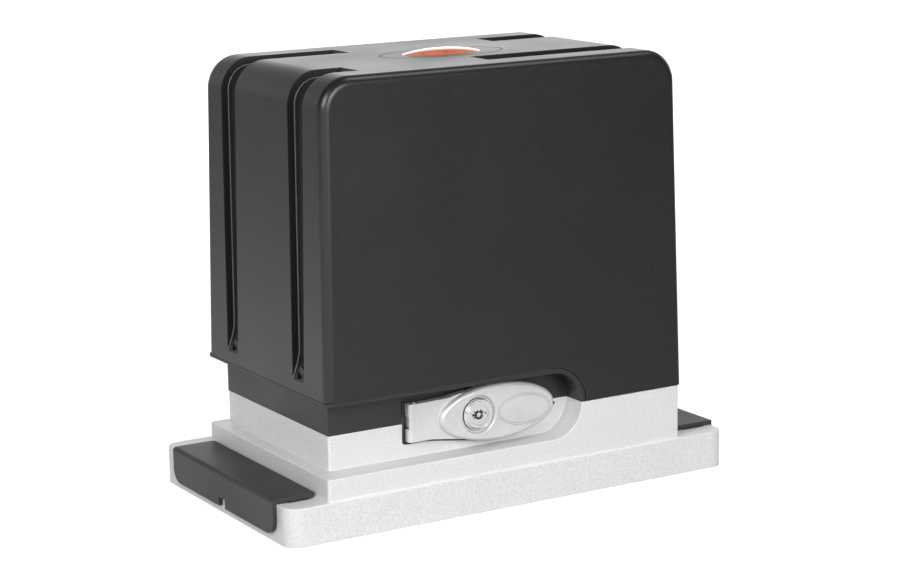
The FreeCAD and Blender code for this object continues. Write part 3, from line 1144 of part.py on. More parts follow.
def electrics():
    x0, x1 = "worm_x - tray_length / 2", "worm_x + tray_length / 2"
    tray = box("tray_plate", x0, x1, "-tray_depth / 2", "tray_depth / 2", "tray_z",
               "tray_z + tray_thickness")
    tray = cornered("tray_form", tray, 6)
    legs = []
    for k, (sx, sy) in enumerate(((1, 0), (0, 1), (-1, 0), (0, -1))):
        legs.append(rod("tray_leg%d" % k, "Z", ("worm_x + %d * (motor_radius - 10)" % sx,
                                               "%d * (motor_radius - 10)" % sy, "cap_top"), 5,
                        "tray_lift + 1"))
    posts = []
    for k, (sx, sy) in enumerate(((-1, -1), (1, -1), (1, 1), (-1, 1))):
        place = ("worm_x + %d * (board_length / 2 - 6)" % sx,
                 "%d * (board_depth / 2 - 6)" % sy, "tray_z + 1")
        posts.append(rod("tray_post%d" % k, "Z", place, 3.5, "tray_thickness + standoff - 1"))
    node("board_bracket", fuse("bracket_body", tray, *(legs + posts)))
    node("control_board", box("board_body", "worm_x - board_length / 2",
                              "worm_x + board_length / 2", "-board_depth / 2", "board_depth / 2",
                              "board_z", "board_z + board_thickness"))
    top = "board_z + board_thickness"
    relays = []
    for k in range(3):
        x = "worm_x - board_length / 2 + 21 + %d" % (24 * k)
        block = box("relay%d_block" % k, x, x + " + 19", "board_depth / 2 - 33",
                    "board_depth / 2 - 17", top, top + " + 15.5")
        relays.append(eased("relay%d" % k, block, lambda edge: along(edge, "Z"), 1))
    node("relays", group("relay_set", *relays))
    strips = []
    for k, (x, count) in enumerate((("worm_x - board_length / 2 + 11", 10), ("worm_x + 2", 9))):
        profile = [("-board_depth / 2 + 2", top), ("-board_depth / 2 + 14", top),
                   ("-board_depth / 2 + 14", top + " + 10"),
                   ("-board_depth / 2 + 8", top + " + 10"),
                   ("-board_depth / 2 + 2", top + " + 5")]
        strip = prism("strip%d" % k, "X", profile, x, x + " + %d" % (5 * count + 3))
        holes = [rod("strip%d_hole%d" % (k, i), "Z", (x + " + %d" % (4 + 5 * i),
                                                     "-board_depth / 2 + 11", top + " + 6"), 1.6, 6)
                 for i in range(count)]
        strips.append(cut("terminals%d" % k, strip, *holes))
    node("terminal_blocks", group("terminal_set", *strips))

    cx, cy, zf = "transformer_x", "transformer_y", "floor_top"
    core = box("core_block", cx + " - core_length / 2", cx + " + core_length / 2",
               cy + " - core_depth / 2", cy + " + core_depth / 2", zf, zf + " + core_height")
    windows = [box("core_window%d" % k, "%s %s core_length / 12 %s" % (cx, s, w0),
                   "%s %s core_length / 12 %s" % (cx, s, w1), cy + " - 40", cy + " + 40",
                   zf + " + core_length / 6", zf + " + core_height - core_length / 6")
               for k, (s, w0, w1) in enumerate((("-", "- core_length / 4", ""),
                                                ("+", "", "+ core_length / 4")))]
    node("transformer_core", cut("core_body", core, *windows))
    outer = box("coil_block", cx + " - core_length / 3 + 0.5", cx + " + core_length / 3 - 0.5",
                cy + " - core_depth / 2 - coil_bulge", cy + " + core_depth / 2 + coil_bulge",
                zf + " + core_length / 6 + 0.3", zf + " + core_height - core_length / 6 - 0.3")
    outer = cornered("coil_form", outer, 6)
    leg = box("coil_leg", cx + " - core_length / 12", cx + " + core_length / 12",
              cy + " - core_depth / 2", cy + " + core_depth / 2", zf, zf + " + core_height")
    node("transformer_coil", cut("coil_body", outer, leg))

    can = turned("capacitor_form", "Z", ("capacitor_x", "capacitor_y", "motor_base"),
                 [(0, 0), ("capacitor_radius - 1.5", 0), ("capacitor_radius", 1.5),
                  ("capacitor_radius", "capacitor_height - 3"),
                  ("capacitor_radius - 3", "capacitor_height"), (5, "capacitor_height"),
                  (5, "capacitor_height + 5"), (0, "capacitor_height + 5")])
    node("capacitor", can)
    band = ring("clip_band", "Z", ("capacitor_x", "capacitor_y", "motor_base"),
                "capacitor_radius + 1.6", "capacitor_radius", 30, 42)
    foot = box("clip_leg", "capacitor_x - 6", "capacitor_x + 6", "capacitor_y + capacitor_radius",
               "capacitor_y + capacitor_radius + 1.6", "motor_base", "motor_base + 42")
    tab = box("clip_tab", "capacitor_x - 6", "capacitor_x + 6", "capacitor_y + capacitor_radius",
              "capacitor_y + capacitor_radius + 12", "motor_base", "motor_base + 1.6")
    node("capacitor_clip", fuse("clip_body", band, foot, tab))

    sensor = box("sensor_block", "worm_x + 8", "worm_x + 40", "motor_radius + 3",
                 "motor_radius + 13", "motor_base", "motor_base + 9")
    node("limit_sensor", eased("sensor_body", sensor, lambda edge: along(edge, "Z"), 2))

    pad = box("grommet_pad", "entry_x - entry_side / 2 + 0.2", "entry_x + entry_side / 2 - 0.2",
              "entry_y - entry_side / 2 + 0.2", "entry_y + entry_side / 2 - 0.2", "floor_top - 6",
              "floor_top")
    lip = box("grommet_lip", "entry_x - entry_side / 2 - 3", "entry_x + entry_side / 2 + 3",
              "entry_y - entry_side / 2 - 3", "entry_y + entry_side / 2 + 3", "floor_top",
              "floor_top + 2.5")
    hole = rod("grommet_hole", "Z", ("entry_x", "entry_y", 0), "entry_bore", "floor_top + 22")
    node("cable_grommet", cut("grommet_body", fuse("grommet_form", pad, cornered(
        "grommet_lip_form", lip, 4)), hole))
    earth = turned("earth_form", "Z", ("entry_x - entry_side / 2 - 5",
                                       "plinth_y0 + casting_wall + 8", "floor_top"),
                   [(0, 0), (5, 0), (5, 1), (2.5, 1), (2.5, 6), (4.6, 6), (4.6, 8.6), (0, 8.6)])
    node("earth_screw", earth)


casting()
skirt()
hood()
hood_screws()
lens()
foot_cover("left")
foot_cover("right")
lever()
lock()
drive_gears()
output()
clutch()
bearings()
motor()
electrics()

doc.recompute()
faults = [thing.Name for thing in doc.Objects if {"Invalid", "Error"} & set(thing.State)]
if faults:
    raise RuntimeError("not recomputed: " + ", ".join(faults))
for thing in nodes:
    if thing.Shape.isNull() or not thing.Shape.isValid() or not thing.Shape.Solids:
        raise RuntimeError("bad shape: " + thing.Label)

os.makedirs("parts", exist_ok=True)
for thing in nodes:
    thing.Shape.exportStep("parts/%s.step" % thing.Label)
print("%d nodes" % len(nodes))
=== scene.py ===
import json
import math

import bmesh
import bpy
from mathutils import Matrix, Vector


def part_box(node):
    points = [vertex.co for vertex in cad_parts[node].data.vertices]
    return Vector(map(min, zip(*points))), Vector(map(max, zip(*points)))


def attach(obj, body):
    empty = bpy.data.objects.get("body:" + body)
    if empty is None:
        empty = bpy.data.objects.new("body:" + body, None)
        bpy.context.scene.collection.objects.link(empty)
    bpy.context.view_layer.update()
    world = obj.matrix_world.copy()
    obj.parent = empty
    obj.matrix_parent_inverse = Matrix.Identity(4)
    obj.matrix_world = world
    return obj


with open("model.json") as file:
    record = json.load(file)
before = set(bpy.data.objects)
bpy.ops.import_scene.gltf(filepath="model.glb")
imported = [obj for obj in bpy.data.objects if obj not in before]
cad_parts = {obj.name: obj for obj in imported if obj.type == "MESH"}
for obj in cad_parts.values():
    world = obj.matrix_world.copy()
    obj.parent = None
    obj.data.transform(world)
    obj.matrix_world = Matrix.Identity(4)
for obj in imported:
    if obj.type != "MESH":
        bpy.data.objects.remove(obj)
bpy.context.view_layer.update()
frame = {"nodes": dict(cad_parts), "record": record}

nodes = frame["nodes"]
scene = bpy.context.scene
scene.view_settings.view_transform = "Standard"
print("frame loaded:", len(nodes), "nodes")


# small helpers for node trees

def newFinish(name):
    finish = bpy.data.materials.new(name)
    finish.use_nodes = True
    tree = finish.node_tree
    return finish, tree, tree.nodes["Principled BSDF"]


def addNode(tree, kind, sockets=None, **settings):
    node = tree.nodes.new(kind)
    for key, value in settings.items():
        setattr(node, key, value)
    for key, value in (sockets or {}).items():
        node.inputs[key].default_value = value
    return node


def grain(tree, size, detail=2.0, roughness=0.5, stretch=(1, 1, 1)):
    # noise whose blobs are about size metres across, in the object's own space
    place = addNode(tree, "ShaderNodeTexCoord")
    scaled = addNode(tree, "ShaderNodeMapping", {"Scale": stretch})
    cloud = addNode(tree, "ShaderNodeTexNoise",
                    {"Scale": 1 / size, "Detail": detail, "Roughness": roughness})
    tree.links.new(place.outputs["Object"], scaled.inputs["Vector"])
    tree.links.new(scaled.outputs["Vector"], cloud.inputs["Vector"])
    return cloud.outputs["Fac"]


def between(tree, source, low, high, start=0.3, end=0.7):
    # a number that runs from low to high as source runs from start to end
    spread = addNode(tree, "ShaderNodeMapRange", {"From Min": start, "From Max": end,
                                                  "To Min": low, "To Max": high})
    tree.links.new(source, spread.inputs["Value"])
    return spread.outputs["Result"]


def blendColours(tree, source, low, high, start=0.35, end=0.65):
    ramp = addNode(tree, "ShaderNodeValToRGB")
    ramp.color_ramp.elements[0].position = start
    ramp.color_ramp.elements[1].position = end
    ramp.color_ramp.elements[0].color = (*low, 1)
    ramp.color_ramp.elements[1].color = (*high, 1)
    tree.links.new(source, ramp.inputs["Fac"])
    return ramp.outputs["Color"]


def addBumps(tree, shader, *layers, start=None):
    # each layer is (height source, strength, height in metres)
    last = start
    for source, strength, height in layers:
        bump = addNode(tree, "ShaderNodeBump", {"Strength": strength, "Distance": height})
        tree.links.new(source, bump.inputs["Height"])
        if last:
            tree.links.new(last, bump.inputs["Normal"])
        last = bump.outputs["Normal"]
    tree.links.new(last, shader.inputs["Normal"])


def softEdgesAndHighlightMask(tree, radius):
    # a softened normal and a mask that is 1 along the object's convex and concave edge lines, where
    # a lighter colour is painted as a highlight
    soft = addNode(tree, "ShaderNodeBevel", {"Radius": radius}, samples=6)
    flat = addNode(tree, "ShaderNodeNewGeometry")
    near = addNode(tree, "ShaderNodeVectorMath", operation="DOT_PRODUCT")
    tree.links.new(soft.outputs["Normal"], near.inputs[0])
    tree.links.new(flat.outputs["Normal"], near.inputs[1])
    return soft.outputs["Normal"], between(tree, near.outputs["Value"], 1.0, 0.0, 0.86, 0.99)


def mixColours(tree, factor, low, high):
    # low and high are a socket or a plain colour
    mix = addNode(tree, "ShaderNodeMix", data_type="RGBA")
    tree.links.new(factor, mix.inputs["Factor"])
    for end, value in zip((mix.inputs[6], mix.inputs[7]), (low, high)):
        if isinstance(value, tuple):
            end.default_value = (*value, 1)
        else:
            tree.links.new(value, end)
    return mix.outputs[2]


# finishes

# the casting's edge colour is a painted highlight, laid along its edge lines
castSettings = {"light": (0.74, 0.74, 0.74), "dark": (0.61, 0.61, 0.615), "metallic": 0.18,
                "edge": (0.98, 0.98, 0.98), "edgeRadius": 0.0008,
                "grainSize": 0.0011, "speckSize": 0.0007, "cloudSize": 0.05,
                "gloss": (0.42, 0.52)}


def castFinish():
    finish, tree, shader = newFinish("sandCastAluminium")
    fine = grain(tree, castSettings["grainSize"], 3.0, 0.6)
    speck = grain(tree, castSettings["speckSize"], 1.0)
    cloud = grain(tree, castSettings["cloudSize"], 3.0)
    soft, edgeHighlight = softEdgesAndHighlightMask(tree, castSettings["edgeRadius"])
    sand = blendColours(tree, speck, castSettings["dark"], castSettings["light"], 0.36, 0.62)
    # painted highlight: the edge lines get the near-white edge colour
    tree.links.new(mixColours(tree, edgeHighlight, sand, castSettings["edge"]),
                   shader.inputs["Base Color"])
    tree.links.new(between(tree, cloud, *castSettings["gloss"]), shader.inputs["Roughness"])
    shader.inputs["Metallic"].default_value = castSettings["metallic"]
    addBumps(tree, shader, (fine, 0.45, 0.00012), (speck, 0.3, 0.00005), start=soft)
    return finish


mouldSettings = {
    "hood": {"light": (0.0135, 0.0135, 0.0138), "dark": (0.0055, 0.0055, 0.0057),
             "gloss": (0.33, 0.39), "grainSize": 0.0008, "bump": 0.35},
    "skirt": {"light": (0.022, 0.022, 0.0225), "dark": (0.012, 0.012, 0.0122),
              "gloss": (0.40, 0.48), "grainSize": 0.0007, "bump": 0.30},
    "cover": {"light": (0.030, 0.030, 0.031), "dark": (0.018, 0.018, 0.019),
              "gloss": (0.44, 0.52), "grainSize": 0.0007, "bump": 0.35},
    # the beads' colour is far lighter than the hood's: a painted highlight along the channels'
    # corners
    "beadHighlight": {"light": (0.110, 0.110, 0.112), "dark": (0.070, 0.070, 0.071),
             "gloss": (0.28, 0.34), "grainSize": 0.0008, "bump": 0.20},
    # near-black sheets over the channels' run-outs: painted shade
    "tip": {"light": (0.006, 0.006, 0.006), "dark": (0.004, 0.004, 0.004),
            "gloss": (0.62, 0.70), "grainSize": 0.0008, "bump": 0.35},
    "tray": {"light": (0.045, 0.045, 0.045), "dark": (0.030, 0.030, 0.030),
             "gloss": (0.45, 0.55), "grainSize": 0.0008, "bump": 0.25},
    "can": {"light": (0.80, 0.80, 0.77), "dark": (0.74, 0.74, 0.71), "gloss": (0.30, 0.38),
            "grainSize": 0.0012, "bump": 0.12},
    "relay": {"light": (0.05, 0.12, 0.36), "dark": (0.03, 0.09, 0.30), "gloss": (0.22, 0.30),
              "grainSize": 0.0008, "bump": 0.10},
    "terminal": {"light": (0.08, 0.42, 0.16), "dark": (0.06, 0.36, 0.13), "gloss": (0.32, 0.40),
                 "grainSize": 0.0008, "bump": 0.15},
}


# the edge radius and the lightening factor set a painted edge highlight; the cloud size sets the
# gloss variation
mouldEdgeAndGloss = {"edgeRadius": 0.0007, "paintedHighlight": 1.6, "cloudSize": 0.06}  # the same on every moulding


def mouldedFinish(name):
    made = mouldSettings[name]
    finish, tree, shader = newFinish(name + "Moulding")
    fine = grain(tree, made["grainSize"], 2.0)
    cloud = grain(tree, mouldEdgeAndGloss["cloudSize"], 3.0)
    soft, edgeHighlight = softEdgesAndHighlightMask(tree, mouldEdgeAndGloss["edgeRadius"])
    skin = blendColours(tree, fine, made["dark"], made["light"], 0.38, 0.62)
    # painted highlight: the edge lines of each moulding get a lighter colour
    paintedHighlight = tuple(min(1.0, mouldEdgeAndGloss["paintedHighlight"] * part) for part in made["light"])
    tree.links.new(mixColours(tree, edgeHighlight, skin, paintedHighlight), shader.inputs["Base Color"])
    tree.links.new(between(tree, cloud, *made["gloss"]), shader.inputs["Roughness"])
    addBumps(tree, shader, (fine, made["bump"], 0.00006), start=soft)
    return finish


metalSettings = {
    "dieCast": {"light": (0.68, 0.68, 0.68), "dark": (0.59, 0.59, 0.595), "metallic": 0.35,
                "gloss": (0.30, 0.38), "grainSize": 0.0006, "stretch": (1, 1, 1), "bump": 0.22,
                "edge": (0.93, 0.93, 0.93)},
    "dieShadow": {"light": (0.50, 0.50, 0.50), "dark": (0.40, 0.40, 0.405), "metallic": 0.30,
                  "gloss": (0.34, 0.42), "grainSize": 0.0006, "stretch": (1, 1, 1), "bump": 0.15},
    "lockChrome": {"light": (0.80, 0.80, 0.80), "dark": (0.66, 0.66, 0.67), "metallic": 0.75,
                   "gloss": (0.18, 0.28), "grainSize": 0.0006, "stretch": (1, 1, 6), "bump": 0.06},
    "groundSteel": {"light": (0.62, 0.62, 0.63), "dark": (0.48, 0.48, 0.50), "metallic": 1.0,
                    "gloss": (0.22, 0.36), "grainSize": 0.0008, "stretch": (1, 8, 1), "bump": 0.10},
    "gearMetal": {"light": (0.72, 0.73, 0.74), "dark": (0.60, 0.61, 0.62), "metallic": 0.6,
                  "gloss": (0.38, 0.50), "grainSize": 0.0012, "stretch": (1, 1, 1), "bump": 0.35},
    "zincPlate": {"light": (0.72, 0.72, 0.69), "dark": (0.56, 0.56, 0.52), "metallic": 1.0,
                  "gloss": (0.26, 0.40), "grainSize": 0.0015, "stretch": (1, 1, 1), "bump": 0.08},
    # painted shade: screws darkened to stand for the dark holes they sit in
    "screwHoleShade": {"light": (0.030, 0.030, 0.031), "dark": (0.012, 0.012, 0.012), "metallic": 0.6,
                  "gloss": (0.30, 0.42), "grainSize": 0.0012, "stretch": (1, 1, 1), "bump": 0.08},
    "wheelBronze": {"light": (0.72, 0.50, 0.25), "dark": (0.56, 0.36, 0.15), "metallic": 1.0,
                    "gloss": (0.28, 0.40), "grainSize": 0.0012, "stretch": (1, 6, 1), "bump": 0.12},
    "windingCopper": {"light": (0.66, 0.30, 0.13), "dark": (0.40, 0.15, 0.06), "metallic": 0.8,
                      "gloss": (0.25, 0.35), "grainSize": 0.0009, "stretch": (1, 1, 8),
                      "bump": 0.6},
    "laminations": {"light": (0.26, 0.26, 0.28), "dark": (0.12, 0.12, 0.13), "metallic": 0.8,
                    "gloss": (0.35, 0.50), "grainSize": 0.0008, "stretch": (0.05, 0.05, 2),
                    "bump": 0.8},
}


# the edge radius sets a painted edge highlight; the cloud size sets the random colour mottle
metalEdgeAndMottle = {"edgeRadius": 0.0006, "cloudSize": 0.02}  # the same on every metal


def metalFinish(name):
    made = metalSettings[name]
    finish, tree, shader = newFinish(name)
    fine = grain(tree, made["grainSize"], 3.0, 0.6, made["stretch"])
    cloud = grain(tree, metalEdgeAndMottle["cloudSize"], 3.0)
    soft, skin = None, blendColours(tree, cloud, made["dark"], made["light"], 0.25, 0.6)
    # painted highlight: metals given an edge colour get it along their edge lines
    if "edge" in made:
        soft, edgeHighlight = softEdgesAndHighlightMask(tree, metalEdgeAndMottle["edgeRadius"])
        skin = mixColours(tree, edgeHighlight, skin, made["edge"])
    tree.links.new(skin, shader.inputs["Base Color"])
    tree.links.new(between(tree, fine, *made["gloss"]), shader.inputs["Roughness"])
    shader.inputs["Metallic"].default_value = made["metallic"]
    addBumps(tree, shader, (fine, made["bump"], 0.00004), start=soft)
    return finish


lensSettings = {"core": (0.92, 0.27, 0.10), "rim": (0.70, 0.13, 0.04), "clear": 0.30,
                "gloss": (0.10, 0.16), "coatGloss": 0.05}


def lensFinish():
    finish, tree, shader = newFinish("orangeLens")
    cloud = grain(tree, 0.012, 2.0)
    tree.links.new(blendColours(tree, cloud, lensSettings["rim"], lensSettings["core"]),
                   shader.inputs["Base Color"])
    tree.links.new(between(tree, cloud, *lensSettings["gloss"]), shader.inputs["Roughness"])
    shader.inputs["Transmission Weight"].default_value = lensSettings["clear"]
    shader.inputs["Coat Weight"].default_value = 1.0
    shader.inputs["Coat Roughness"].default_value = lensSettings["coatGloss"]
    addBumps(tree, shader, (grain(tree, 0.003, 1.0), 0.05, 0.0001))
    return finish


rubberSettings = {"light": (0.030, 0.030, 0.030), "dark": (0.018, 0.018, 0.018),
                  "gloss": (0.65, 0.8), "grainSize": 0.0009}


def rubberFinish():
    finish, tree, shader = newFinish("blackRubber")
    fine = grain(tree, rubberSettings["grainSize"], 3.0)
    tree.links.new(blendColours(tree, fine, rubberSettings["dark"], rubberSettings["light"]),
                   shader.inputs["Base Color"])
    tree.links.new(between(tree, fine, *rubberSettings["gloss"]), shader.inputs["Roughness"])
    addBumps(tree, shader, (fine, 0.3, 0.0001))
    return finish


boardSettings = {"mask": (0.02, 0.20, 0.07), "track": (0.04, 0.30, 0.12), "pitch": 0.0035,
                 "gloss": (0.25, 0.35)}


def boardFinish():
    finish, tree, shader = newFinish("boardLaminate")
    place = addNode(tree, "ShaderNodeTexCoord")
    tracks = addNode(tree, "ShaderNodeTexVoronoi", {"Scale": 1 / boardSettings["pitch"]},
                     distance="MANHATTAN", feature="F1")
    tree.links.new(place.outputs["Object"], tracks.inputs["Vector"])
    tree.links.new(blendColours(tree, tracks.outputs["Distance"], boardSettings["track"],
                                boardSettings["mask"], 0.35, 0.40), shader.inputs["Base Color"])
    tree.links.new(between(tree, grain(tree, 0.01), *boardSettings["gloss"]),
                   shader.inputs["Roughness"])
    addBumps(tree, shader, (tracks.outputs["Distance"], 0.2, 0.00003))
    return finish


finishes = {
    "casting": castFinish(), "gear_metal": metalFinish("gearMetal"),
    "hood_plastic": mouldedFinish("hood"), "skirt_plastic": mouldedFinish("skirt"),
    "cover_plastic": mouldedFinish("cover"), "lens_plastic": lensFinish(),
    "lever_metal": metalFinish("dieCast"), "lock_metal": metalFinish("lockChrome"),
    "steel": metalFinish("groundSteel"), "zinc": metalFinish("zincPlate"),
    "bronze": metalFinish("wheelBronze"), "copper": metalFinish("windingCopper"),
    "lamination": metalFinish("laminations"), "rubber": rubberFinish(),
    "can_plastic": mouldedFinish("can"), "tray_plastic": mouldedFinish("tray"),
    "board": boardFinish(), "relay_plastic": mouldedFinish("relay"),
    "terminal_plastic": mouldedFinish("terminal"),
}


def dress(piece, finish):
    if not piece.material_slots:
        piece.data.materials.append(finish)
    for place in piece.material_slots:
        place.material = finish


for subpart in frame["record"]["subparts"]:
    dress(nodes[subpart["node"]], finishes[subpart["material_slot"]])
# painted shade: the hood screws get the near-black screw finish
dress(nodes["hood_screws"], metalFinish("screwHoleShade"))
print("finishes set:", len(finishes))


# small pieces that the eye looks for

def addPiece(piece, body, finish):
    dress(piece, finish)
    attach(piece, body)
    return piece


def bar(name, points, radius, closed=False):
    # a round bar along a smooth line through points in metres
    data = bpy.data.curves.new(name, "CURVE")
    data.dimensions = "3D"
    data.bevel_depth = radius
    data.bevel_resolution = 2
    data.use_fill_caps = True
    line = data.splines.new("NURBS")
    line.points.add(len(points) - 1)
    for spot, point in zip(line.points, points):
        spot.co = (*point, 1)
    line.order_u = 3
    line.use_cyclic_u = closed
    line.use_endpoint_u = not closed
    piece = bpy.data.objects.new(name, data)
    scene.collection.objects.link(piece)
    return piece


def loopMesh(name, rings):
    # a skin over rings of points that all have the same count, with both ends capped
    shape = bmesh.new()
    rows = [[shape.verts.new(point) for point in ring] for ring in rings]
    for low, high in zip(rows, rows[1:]):
        count = len(low)
        for i in range(count):
            shape.faces.new((low[i], low[(i + 1) % count], high[(i + 1) % count], high[i]))
    for row in (rows[0][::-1], rows[-1]):
        shape.faces.new(row)
    bmesh.ops.recalc_face_normals(shape, faces=shape.faces[:])
    mesh = bpy.data.meshes.new(name)
    shape.to_mesh(mesh)
    shape.free()
    for face in mesh.polygons:
        face.use_smooth = True
    piece = bpy.data.objects.new(name, mesh)
    scene.collection.objects.link(piece)
    return piece


# thin beads in the corners of the hood's channels, found by feeling for the hood's skin, coloured
# far lighter than the hood as a painted highlight along those corners

beadSettings = {"radius": 0.00060, "middle": 0.0461, "footHalf": 0.0075, "topHalf": 0.011,
                "foot": 0.0935, "crown": 0.021, "taperFoot": 0.080,
                "upSteps": 22, "bendSteps": 10, "topSteps": 8,
                "ends": {"frontLeft": -0.1035, "frontRight": 0.0085,
                         "backLeft": -0.059, "backRight": 0.070}}
hoodLow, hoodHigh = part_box("hood")
hoodMidY = (hoodLow.y + hoodHigh.y) / 2


feeler = {"side": 0.05, "bend": 0.06, "bendY": 0.02}  # how far off each ray starts


def touch(start, heading):
    hit, place = nodes["hood"].ray_cast(Vector(start), Vector(heading).normalized())[:2]
    return place if hit else None


def channelMiddle(name):
    return hoodMidY + (beadSettings["middle"] if name.startswith("back")
                       else -beadSettings["middle"])


def channelPath(name, inset, side):
    made = beadSettings
    middle = channelMiddle(name)
    left = name.endswith("Left")
    edge = hoodLow.x if left else hoodHigh.x
    inward = 1 if left else -1
    top, foot = hoodHigh.z, made["foot"]

    def wall(z):
        share = min(1, max(0, (z - made["taperFoot"]) / (top - made["taperFoot"])))
        half = made["footHalf"] + share * (made["topHalf"] - made["footHalf"])
        return middle + side * (half - inset)

    found = []
    for i in range(made["upSteps"]):
        z = foot + (top - made["crown"] - foot) * i / (made["upSteps"] - 1)
        found.append(touch((edge - inward * feeler["side"], wall(z), z), (inward, 0, 0)))
    centre = (edge + inward * made["crown"], top - made["crown"])
    for i in range(1, made["bendSteps"]):
        turn = math.pi / 2 * i / made["bendSteps"]
        out = (-inward * math.cos(turn), math.sin(turn))
        y = wall(centre[1] + feeler["bendY"] * out[1])
        found.append(touch((centre[0] + feeler["bend"] * out[0], y,
                            centre[1] + feeler["bend"] * out[1]), (-out[0], 0, -out[1])))
    for i in range(made["topSteps"]):
        x = centre[0] + (made["ends"][name] - centre[0]) * i / (made["topSteps"] - 1)
        found.append(touch((x, wall(top), top + feeler["side"]), (0, 0, -1)))
    return [place for place in found if place]


beadCount = 0
beadHighlightFinish = mouldedFinish("beadHighlight")
for channel in beadSettings["ends"]:
    for side, name in ((1, "farBead"), (-1, "nearBead")):
        path = channelPath(channel, beadSettings["radius"] * 1.2, side)
        addPiece(bar(name + "_" + channel, path, beadSettings["radius"]), "base",
                 beadHighlightFinish)
        beadCount += 1
print("channel beads:", beadCount)


# thin near-black sheets over the run-outs where the channels end on the hood's top: painted shade

tipSettings = {"reach": 0.0098, "half": 0.0104, "lift": 0.00004, "thick": 0.0001,
               "ends": {"frontLeft": -0.0947, "frontRight": -0.0013, "backLeft": -0.0502,
                        "backRight": 0.0602}}
tipShadeFinish = mouldedFinish("tip")


def channelTip(name, end):
    made = tipSettings
    middle = channelMiddle(name)
    deep = end + (-made["reach"] if name.endswith("Left") else made["reach"])
    spots = [touch((x, middle + side * made["half"], hoodHigh.z + feeler["side"]), (0, 0, -1))
             for x, side in ((end, -1), (end, 1), (deep, 1), (deep, -1))]
    return loopMesh("channelTipShade_" + name,
                    [[(spot.x, spot.y, spot.z + rise) for spot in spots]
                     for rise in (made["lift"], made["lift"] + made["thick"])])


for channel, end in tipSettings["ends"].items():
    addPiece(channelTip(channel, end), "base", tipShadeFinish)
print("channel tips:", len(tipSettings["ends"]))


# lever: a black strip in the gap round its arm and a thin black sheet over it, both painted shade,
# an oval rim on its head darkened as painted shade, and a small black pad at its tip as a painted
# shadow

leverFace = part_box("release_lever")[0].y
# painted shade: a black strip along the gap round the lever's arm
leverGapShadeSettings = {"depth": -0.0717, "radius": 0.00060, "line": (
    (-0.0600, 0.0749), (-0.0722, 0.0749), (-0.0732, 0.0745), (-0.0733, 0.0730),
    (-0.0733, 0.0615), (-0.0733, 0.0500), (-0.0732, 0.0480), (-0.0716, 0.0476),
    (-0.0640, 0.0476), (-0.0560, 0.0476), (-0.0440, 0.0460), (-0.0200, 0.0424))}
addPiece(bar("leverGapShade", [(x, leverGapShadeSettings["depth"], z) for x, z in leverGapShadeSettings["line"]],
             leverGapShadeSettings["radius"]), "base", finishes["rubber"])

# painted shade: a thin black sheet in the slot over the lever's arm
slotShadeSheetSettings = {"front": -0.0703, "back": -0.0700, "outline": (
    (-0.0585, 0.0608), (-0.0360, 0.0608), (-0.0360, 0.0762), (-0.0400, 0.0762),
    (-0.0560, 0.0745), (-0.0585, 0.0743))}
addPiece(loopMesh("slotShadeSheet", [[(x, y, z) for x, z in slotShadeSheetSettings["outline"]]
                                for y in (slotShadeSheetSettings["front"], slotShadeSheetSettings["back"])]),
         "base", finishes["rubber"])

rimSettings = {"centre": (0.0108, 0.0603), "halfLength": 0.0200, "halfHeight": 0.0102,
               "tilt": -0.03, "radius": 0.00028, "lift": 0.00008,
               "rims": (("headRim", 0), ("headRimInner", -0.0012))}


def ovalPoints(made, grow, y, count=36):
    points = []
    lean, rise = math.cos(made["tilt"]), math.sin(made["tilt"])
    for i in range(count):
        turn = 2 * math.pi * i / count
        x = (made["halfLength"] + grow) * math.cos(turn)
        z = (made["halfHeight"] + grow) * math.sin(turn)
        points.append((made["centre"][0] + x * lean - z * rise, y,
                       made["centre"][1] + x * rise + z * lean))
    return points


# painted shade: the oval rims are darker than the lever, standing for the shade of a cut line
rimShadeFinish = metalFinish("dieShadow")
for name, grow in rimSettings["rims"]:
    addPiece(bar(name, ovalPoints(rimSettings, grow, leverFace + rimSettings["lift"]),
                 rimSettings["radius"], True), "lever", rimShadeFinish)

# painted shadow: a small black pad where the lever's tip meets the pocket
padSettings = {"place": (0.0337, -0.0806, 0.0606), "radius": 0.0011, "length": 0.0016,
               "sink": 0.0006, "tip": 0.0001, "rings": 7, "sides": 16}
padX, padY, padZ = padSettings["place"]
padTurns = [math.pi * j / (padSettings["sides"] / 2) for j in range(padSettings["sides"])]
padRings = []
for i in range(padSettings["rings"]):
    turn = math.pi / 2 * i / (padSettings["rings"] - 1)
    x = padX + padSettings["length"] * math.sin(turn) - padSettings["sink"]
    size = max(padSettings["tip"], padSettings["radius"] * math.cos(turn))
    padRings.append([(x, padY + size * math.cos(around), padZ + size * math.sin(around))
                     for around in padTurns])
addPiece(loopMesh("tipShadowPad", padRings), "lever", finishes["rubber"])
print("lever trimmed")


# lock: what shows in the key slot, as flat black patches on the plug's face painted as the keyway's
# shade

lockLow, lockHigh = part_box("lock_plug")
lockCentre = ((lockLow.x + lockHigh.x) / 2, (lockLow.z + lockHigh.z) / 2)


def faceRing(name, centre, outer, inner, start, sweep, y, thick, count=28):
    # a flat ring or a part of one, lying on the lock's face
    rings = []
    for i in range(count + 1):
        turn = math.radians(start + sweep * i / count)
        along = (math.cos(turn), math.sin(turn))
        rings.append([(centre[0] + along[0] * radius, depth, centre[1] + along[1] * radius)
                      for radius, depth in ((outer, y), (outer, y - thick), (inner, y - thick),
                                            (inner, y))])
    return loopMesh(name, rings)


